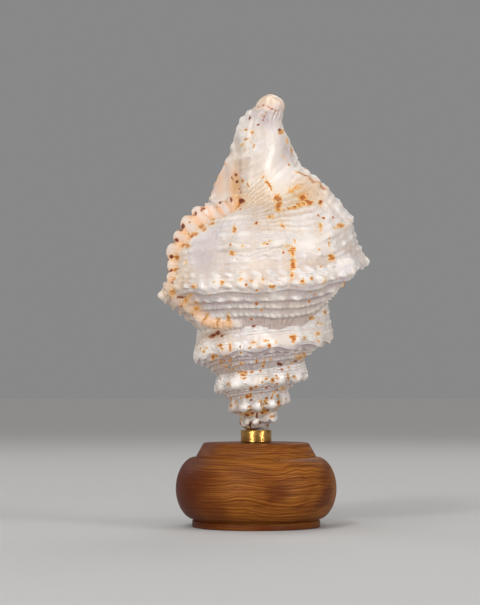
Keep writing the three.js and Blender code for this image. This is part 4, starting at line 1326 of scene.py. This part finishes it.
@dataclass(frozen=True)
class ShellFinish:
    """Porcelain-white shell with cream, orange-brown and red-brown marks, painted mauve shade and a glazed
    varix.
    """

    white: Colour = (0.87, 0.8, 0.745)
    # White for painted light on the spire's walls.
    painted_light_white: Colour = (0.95, 0.9, 0.87)
    cool: Colour = (0.76, 0.7, 0.69)
    cream: Colour = (0.87, 0.73, 0.53)
    honey: Colour = (0.84, 0.57, 0.27)
    peach: Colour = (0.9, 0.55, 0.32)
    apricot: Colour = (0.78, 0.4, 0.1)
    rust: Colour = (0.46, 0.12, 0.014)
    umber: Colour = (0.15, 0.026, 0.008)
    # Mauve for lines along the growth, and for painted shade on the ramps, in low places and in recesses.
    mauve_and_painted_shade: Colour = (0.38, 0.29, 0.32)
    # Tan for the tan marks, and for painted shade in low places and between beads.
    tan: Colour = (0.56, 0.33, 0.13)
    ragged_scale: float = 420
    grain_scale: float = 1400
    freckle_scale: float = 300
    riblets: float = 84
    threads: float = 24

    def material(self) -> bpy.types.Material:
        """Builds the nodes: the ground with painted light, stains and painted shade in low places, the
        layers' tints and painted shade, spots, then gloss and relief.
        """
        g = Graph("shell_white_and_rust", IOR=1.5, Coat_Weight=0.06, Coat_Roughness=0.2)
        ragged = g.noise(self.ragged_scale, 4)
        torn = g.plus(g.times(ragged, 0.5), g.times(g.sheet_noise(150, 62, 2), 1.3))
        torn = g.math("SUBTRACT", torn, 0.9)
        colour = self.stains_and_painted_shade(g, self.ground(g), torn)
        colour = self.spotted(g, self.shaded(g, colour, ragged), torn)
        g.feed("Base Color", colour)
        rough = g.math("SUBTRACT", g.ranged(ragged, 0.3, 0.75), g.times(g.layer("glaze"), 0.42))
        g.feed("Roughness", g.ranged(rough, 0.15, 0.75))
        g.feed("Normal", self.relief(g, ragged))
        return g.material

    def ground(self, g: Graph) -> Socket:
        """White with cool and cream clouds, a honey wash along the growth, and painted light that whitens
        the walls on the spire.
        """
        turn, across = g.layer("turn"), g.layer("across")
        colour = g.tinted(self.white, self.cool, g.step(g.noise(38, 3), 0.42, 0.66))
        colour = g.tinted(colour, self.cream, g.step(g.noise(24, 2, Distortion=0.6), 0.48, 0.7), 0.42)
        colour = g.tinted(colour, self.honey, g.step(g.sheet_noise(26, 17, 4), 0.54, 0.74), 0.3)
        # Painted light: the spire's walls above the shoulder whiter than its shaded ramps.
        lit_spire_walls = g.times(g.step(turn, -0.85, -1.1), g.step(across, -0.06, 0.04))
        return g.tinted(colour, self.painted_light_white, lit_spire_walls, 0.6)

    def stains_and_painted_shade(self, g: Graph, colour: Socket, torn: Socket) -> Socket:
        """Painted shade in low places, pale halos round the orange spots, and lines along the growth."""
        turn, across, relief = g.layer("turn"), g.layer("across"), g.layer("relief")
        # Painted shade: mauve in the ramp's low places, and tan in the gaps between beads beside the
        # shoulder.
        ramp = g.ranged(g.step(across, 0.0, -0.06), 0.2, 0.34)
        colour = g.tinted(colour, self.mauve_and_painted_shade, g.times(g.step(relief, 0.7, 0.0), ramp))
        beaded = g.times(g.step(across, 0.3, 0.16), g.step(across, -0.03, 0.0))
        colour = g.tinted(colour, self.tan, g.times(g.step(relief, 0.5, 0.0), beaded), 0.28)
        halo = g.plus(g.layer("orange"), g.times(torn, 0.3))
        colour = g.tinted(colour, self.cream, g.step(halo, 0.04, 0.4), 0.75)
        colour = g.tinted(colour, self.honey, g.step(halo, 0.1, 0.45), 0.5)
        # Painted shade: tan in the relief's low places.
        colour = g.tinted(colour, self.tan, g.step(relief, 0.3, -0.3), 0.2)
        return g.tinted(colour, self.mauve_and_painted_shade, g.step(g.lined(turn, 95, 4), 0.54, 0.72), 0.1)

    def shaded(self, g: Graph, colour: Socket, ragged: Socket) -> Socket:
        """The layers' tints and painted shade: white glaze, peach, tan that is partly painted shade, and
        painted mauve shade that gathers in low places.
        """
        colour = g.tinted(colour, self.white, g.layer("glaze"), 0.4)
        colour = g.tinted(colour, self.peach, g.step(g.layer("peach"), 0.05, 1.05))
        # Tan, partly painted shade in the recess, the hollows and between the fan's cords.
        colour = g.tinted(colour, self.tan, g.layer("tan"), 0.85)
        # Painted shade: mauve, strongest in the relief's low places.
        low = g.ranged(g.step(g.layer("relief"), 0.9, 0), 0.35, 0.95)
        return g.tinted(colour, self.mauve_and_painted_shade, g.times(g.layer("mauve_and_painted_shade"), g.ranged(ragged, 0.35, 1.25), low))

    def spotted(self, g: Graph, colour: Socket, torn: Socket) -> Socket:
        """Orange spots, freckles and dark spots, with torn edges and a darker middle."""
        orange = g.plus(g.times(g.layer("orange"), 1.2), g.times(torn, 1.5))
        orange = g.math("MAXIMUM", orange, self.freckles(g))
        colour = g.tinted(colour, self.apricot, g.step(orange, 0.3, 0.62))
        colour = g.tinted(colour, self.rust, g.step(orange, 0.55, 0.95))
        dark = g.plus(g.times(g.layer("dark"), 1.3), g.times(torn, 0.9))
        colour = g.tinted(colour, self.rust, g.step(dark, 0.34, 0.6))
        return g.tinted(colour, self.umber, g.step(dark, 0.5, 0.85))

    def freckles(self, g: Graph) -> Socket:
        """Small scattered spots: cells whose random value is high, each shrunk by the distance within it."""
        cells = g.node("TexVoronoi", {"Vector": g.here(), "Scale": self.freckle_scale, "Randomness": 1.0})
        chosen = g.node("SeparateColor", {0: cells.outputs["Color"]}).outputs[0]
        need = g.ranged(g.layer("freckle"), 0.97, 0.6)
        picked = g.step(g.math("SUBTRACT", chosen, need), 0.0, 0.05)
        uneven = g.plus(cells.outputs["Distance"], g.times(g.noise(600, 2), 0.35))
        return g.times(picked, g.step(uneven, 0.62, 0.38))

    def relief(self, g: Graph, ragged: Socket) -> Socket:
        """Growth lines, riblets beside the last suture, fine spiral threads and a ragged grain."""
        turn, across = g.layer("turn"), g.layer("across")
        matte = g.math("SUBTRACT", 1.0, g.times(g.layer("glaze"), 0.85))
        normal = g.bump(g.times(g.lined(turn, 170, 4), matte), 0.0005)
        beside_suture = g.times(g.step(across, -0.66, -0.72), g.step(turn, -2.0, -1.0))
        riblets = g.math("SINE", g.times(turn, TAU * self.riblets))
        normal = g.bump(g.times(riblets, beside_suture), 0.00045, normal)
        wave = g.plus(g.times(across, TAU * self.threads), g.times(g.noise(70, 3), 14.0))
        body = g.times(g.step(across, -0.02, 0.06), g.step(across, 0.62, 0.5))
        threads = g.times(g.math("SINE", wave), g.times(matte, body), g.step(g.noise(90, 2), 0.4, 0.6))
        normal = g.bump(threads, 0.00022, normal)
        normal = g.bump(g.times(ragged, matte), 0.0012, normal)
        return g.bump(g.times(g.noise(self.grain_scale, 3), matte), 0.0003, normal)


@dataclass(frozen=True)
class BrassFinish:
    """Polished brass with fine turning lines and a little tarnish."""

    bright: Colour = (0.52, 0.295, 0.08)
    tarnish: Colour = (0.3, 0.11, 0.02)

    def material(self) -> bpy.types.Material:
        """Builds the nodes: lines along the height in the gloss, and tarnish by noise."""
        g = Graph("collar_brass", Metallic=1.0)
        g.feed("Base Color", g.tinted(self.bright, self.tarnish, g.step(g.noise(180, 4), 0.5, 0.75), 0.4))
        lines = g.noise(1.0, 2, g.stretched((60, 60, 5200)))
        g.feed("Roughness", g.ranged(lines, 0.14, 0.36))
        g.feed("Normal", g.bump(lines, 0.00006))
        return g.material


@dataclass(frozen=True)
class WoodFinish:
    """Oiled warm brown wood with level wavy grain, painted shade on the left, and darker at the foot."""

    light: Colour = (0.33, 0.116, 0.017)
    middle: Colour = (0.175, 0.048, 0.003)
    dark: Colour = (0.072, 0.009, 0.0005)
    bands: float = 1050
    waviness: float = 27

    def material(self) -> bpy.types.Material:
        """Builds the nodes: wavy level bands for the growth rings, streaks, pores, broad tones, and painted
        shade on the left.
        """
        g = Graph("base_wood", IOR=1.22)
        place = g.node("SeparateXYZ", {0: g.here()})
        sideways, rise = place.outputs[0], place.outputs[2]
        waves = g.noise(9, 3, g.stretched((1.0, 1.6, 1.6)), Distortion=0.4)
        bands = g.lined(g.plus(g.times(rise, self.bands), g.times(waves, self.waviness)), 1.0, 5)
        broad = g.noise(15, 3, g.stretched((1, 1, 2.4)), Distortion=0.8)
        streaks = g.noise(1.0, 3, g.stretched((22, 22, 1100)))
        pores = g.step(g.noise(1.0, 3, g.stretched((130, 130, 2600))), 0.6, 0.74)
        # Painted shade: the left side of the base darker.
        left = g.plus(sideways, g.times(broad, 0.03))
        colour = g.tinted(self.middle, self.light, g.step(bands, 0.34, 0.66))
        colour = g.tinted(colour, self.dark, g.step(broad, 0.44, 0.66), 0.72)
        colour = g.tinted(colour, self.dark, g.step(streaks, 0.47, 0.63), 0.5)
        colour = g.tinted(colour, self.dark, pores, 0.65)
        # Painted shade on the left side.
        colour = g.tinted(colour, self.dark, g.step(left, 0.0, -0.035), 0.92)
        colour = g.tinted(colour, self.dark, g.step(rise, 0.012, 0.002), 0.45)
        g.feed("Base Color", colour)
        g.feed("Roughness", g.ranged(bands, 0.38, 0.55))
        normal = g.bump(bands, 0.00015, g.bump(pores, 0.00015))
        lathe = g.noise(1.0, 1, g.stretched((12, 12, 1500)))
        g.feed("Normal", g.bump(lathe, 0.00008, normal))
        return g.material


@dataclass(frozen=True)
class ShellPiece:
    """The shell: the whorls of its spire, with the apex bedded in the collar, and its last whorl."""

    form: ShellForm = ShellForm()
    finish: ShellFinish = ShellFinish()
    inner_step: int = 4

    def build(self) -> list[bpy.types.Object]:
        """Builds the whorls as closed tubes that overlap a little, and dresses them."""
        material = self.finish.material()
        spire, last = MeshParts([], [], [], {}), MeshParts([], [], [], {})
        for whorls in SPIRE:
            self.add_solid(spire, whorls)
        self.add_last(last, LAST)
        made = [spire.object("shell_spire"), last.object("shell_last_whorl")]
        for piece in made:
            piece.data.materials.append(material)
            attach(piece, BODY)
            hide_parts("shell")
        return made

    def add_solid(self, parts: MeshParts, whorls: Whorls) -> None:
        """Adds earlier whorls, closed along the axis, with a cap of one face at either end."""
        outer, _ = self.form.skin(whorls)
        edges = outer.columns([-1, 0])
        height = edges.places[..., 2]
        angle = TAU * whorls.turns()[:, None] + 0 * height
        axis = np.stack([self.form.axis * np.cos(angle), self.form.axis * np.sin(angle), height], -1)
        ring = outer.joined(Skin(axis, edges.layers))
        rings, size = ring.places.shape[:2]
        parts.add(ring, [np.arange(size), np.arange(size)[::-1] + (rings - 1) * size])

    def add_last(self, parts: MeshParts, whorls: Whorls) -> None:
        """Adds the last whorl, closed along the inside of its wall, with its rounded rim.

        The inside runs back beside the outside with a point for every few of its points. Each cap fills the
        strip between them with triangles: fans from the inner points, and one triangle for each inner step.
        """
        outer, inner = self.form.rim(*self.form.skin(whorls))
        count, step = outer.places.shape[1], self.inner_step
        kept = np.unique(np.append(np.arange(0, count, step), count - 1))[::-1]
        ring = outer.joined(inner.columns(kept))
        rings, size = ring.places.shape[:2]
        edges, steps = np.arange(count - 1), np.arange(step, count - 1, step)
        fans = np.stack([edges, edges + 1, size - 1 - edges // step], -1)
        between = np.stack([steps, size - 1 - steps // step, size - steps // step], -1)
        end = np.array([[count - 1, count, count + 1]])
        caps = np.concatenate([fans, between, end])
        parts.add(ring, [*caps, *(caps[:, ::-1] + (rings - 1) * size)])


@dataclass(frozen=True)
class CollarPiece:
    """The brass cup that holds the apex, with a fine line turned below its rim."""

    wall: float = 1
    lip: float = 0.35
    foot_rounding: float = 0.8
    line_below: float = 0.75
    line_half: float = 0.15
    line_depth: float = 0.12
    finish: BrassFinish = BrassFinish()

    def build(self) -> list[bpy.types.Object]:
        """Builds the cup inside its solid's box, with a rounded foot and rim."""
        low, high = (np.array(corner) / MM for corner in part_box("brass_collar"))
        radius, foot, rim = high[0], low[2], high[2]
        inside, floor, line = radius - self.wall, foot + self.wall, rim - self.line_below
        profile = filleted(
            [
                (0, foot, 0), (radius - self.foot_rounding, foot, 0), (radius, foot, self.lip),
                (radius, line - self.line_half, 0.2), (radius - self.line_depth, line, 0.1),
                (radius, line + self.line_half, 0.1), (radius, rim, self.lip),
                (inside, rim, self.lip), (inside, floor, 0.3), (0, floor, 0),
            ]
        )
        collar = turned("brass_cup", profile, 128)
        collar.data.materials.append(self.finish.material())
        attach(collar, BODY)
        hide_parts("brass_collar")
        return [collar]


@dataclass(frozen=True)
class BasePiece:
    """The turned base: foot, groove, bun and chamfered boss. Sizes are radii and heights."""

    foot: float = 42
    foot_top: float = 4.2
    groove: float = 41
    groove_top: float = 5.2
    bun_low: float = 41.3
    bun_middle: float = 25
    bun_top: float = 45.6
    bun_high: float = 41
    boss: float = 39.2
    boss_top: float = 34.5
    fullness: float = 1.15
    finish: WoodFinish = WoodFinish()

    def bun(self, widest: float) -> Array:
        """The bun's flank: quarter waves from its lower edge to its widest place and its upper edge."""
        angle = np.linspace(-math.pi / 2, math.pi / 2, 49)
        inner = np.where(angle < 0, self.bun_low, self.bun_high)
        reach = np.where(angle < 0, self.bun_middle - self.groove_top, self.bun_top - self.bun_middle)
        radius = inner + (widest - inner) * np.cos(angle) ** self.fullness
        return np.stack([radius, self.bun_middle + reach * np.sin(angle)], -1)

    def build(self) -> list[bpy.types.Object]:
        """Builds the turning inside its solid's box."""
        low, high = (np.array(corner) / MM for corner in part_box("wood_base"))
        widest, bottom, top = high[0], low[2], high[2]
        lower = filleted(
            [
                (0, bottom, 0), (self.foot - 1.2, bottom, 0), (self.foot, bottom, 0.9),
                (self.foot, self.foot_top, 0.7), (self.groove, self.foot_top + 0.3, 0.3),
                (self.groove, self.groove_top, 0),
            ]
        )
        upper = filleted(
            [
                (self.bun_high, self.bun_top, 0), (self.boss, self.bun_top + 0.1, 0.3),
                (self.boss, self.bun_top + 1, 0.7), (self.boss_top, top, 1.3), (self.boss_top - 3, top, 0),
                (0, top, 0),
            ]
        )
        profile = np.concatenate([lower[:-1], self.bun(widest), upper[1:]])
        base = turned("turned_base", profile, 192)
        base.data.materials.append(self.finish.material())
        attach(base, BODY)
        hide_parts("wood_base")
        return [base]


@dataclass(frozen=True)
class Lamp:
    """A square lamp: its place and side in metres, its power in watts, and its beam's spread in degrees."""

    place: Triple
    side: float
    power: float
    spread: float = 180

    def build(self, name: str, aim: Triple) -> None:
        """Makes the lamp, turned to face a place."""
        data = bpy.data.lights.new(name, "AREA")
        data.size = self.side
        data.energy = self.power
        data.spread = math.radians(self.spread)
        lamp = bpy.data.objects.new(name, data)
        lamp.location = self.place
        lamp.rotation_euler = (Vector(aim) - Vector(self.place)).to_track_quat("-Z", "Y").to_euler()
        bpy.context.scene.collection.objects.link(lamp)


@dataclass(frozen=True)
class Studio:
    """A pale floor, soft lamps, a broad high sun, an even sky and the photograph's camera."""

    floor_radius: float = 12
    floor_sides: int = 96
    floor_colour: Colour = (0.55, 0.54, 0.53)
    sky: Colour = (0.62, 0.62, 0.62)
    sky_strength: float = 0.4
    sun: float = 0.8
    sun_spread: float = 60
    sun_turn: Triple = (28, 0, -20)
    aim: Triple = (0, 0, 0.17)
    lamps: tuple[Lamp, ...] = (
        Lamp((-0.5, -1.2, 1.2), 0.26, 6.7),
        Lamp((1.05, -0.62, 0.75), 0.24, 3),
        Lamp((-0.85, -1.45, 0.18), 0.25, 0.92, 60),
        Lamp((1.3, -1.25, 0.18), 0.25, 0.88, 60),
        Lamp((0.5, 1.3, 1.3), 0.9, 5),
        Lamp((-1.2, 0.9, 1.0), 0.9, 4),
    )

    def build(self) -> None:
        """Builds the floor, the lamps, the sun, the sky and the camera."""
        self.add_floor()
        for k, lamp in enumerate(self.lamps):
            lamp.build(f"soft_lamp_{k}", self.aim)
        self.add_sun()
        self.set_sky()
        scene = bpy.context.scene
        scene.view_settings.view_transform = "Standard"
        scene.camera = VIEW.camera()

    def add_floor(self) -> None:
        """A round floor that is one face."""
        angle = np.arange(self.floor_sides) * TAU / self.floor_sides
        rim = np.stack([np.cos(angle), np.sin(angle), 0 * angle], -1) * self.floor_radius / MM
        floor = mesh_object("floor", rim, [list(range(self.floor_sides))], {})
        g = Graph("floor_pale", Roughness=0.8, Base_Color=self.floor_colour)
        floor.data.materials.append(g.material)

    def add_sun(self) -> None:
        """A high sun with soft shadows."""
        data = bpy.data.lights.new("high_sun", "SUN")
        data.energy = self.sun
        data.angle = math.radians(self.sun_spread)
        sun = bpy.data.objects.new(data.name, data)
        sun.rotation_euler = tuple(math.radians(angle) for angle in self.sun_turn)
        bpy.context.scene.collection.objects.link(sun)

    def set_sky(self) -> None:
        """An even grey sky."""
        world = bpy.data.worlds.new("sky")
        world.use_nodes = True
        background = world.node_tree.nodes["Background"]
        background.inputs[0].default_value = (*self.sky, 1)
        background.inputs[1].default_value = self.sky_strength
        bpy.context.scene.world = world


def main() -> None:
    """Builds the pieces in order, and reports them."""
    logging.basicConfig(level=logging.INFO, format="%(message)s")
    for piece in (BasePiece(), CollarPiece(), ShellPiece()):
        for made in piece.build():
            made.data.calc_loop_triangles()
            logging.info("%s: %d triangles", made.name, len(made.data.loop_triangles))
    Studio().build()
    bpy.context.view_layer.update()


if __name__ == "__main__":
    main()
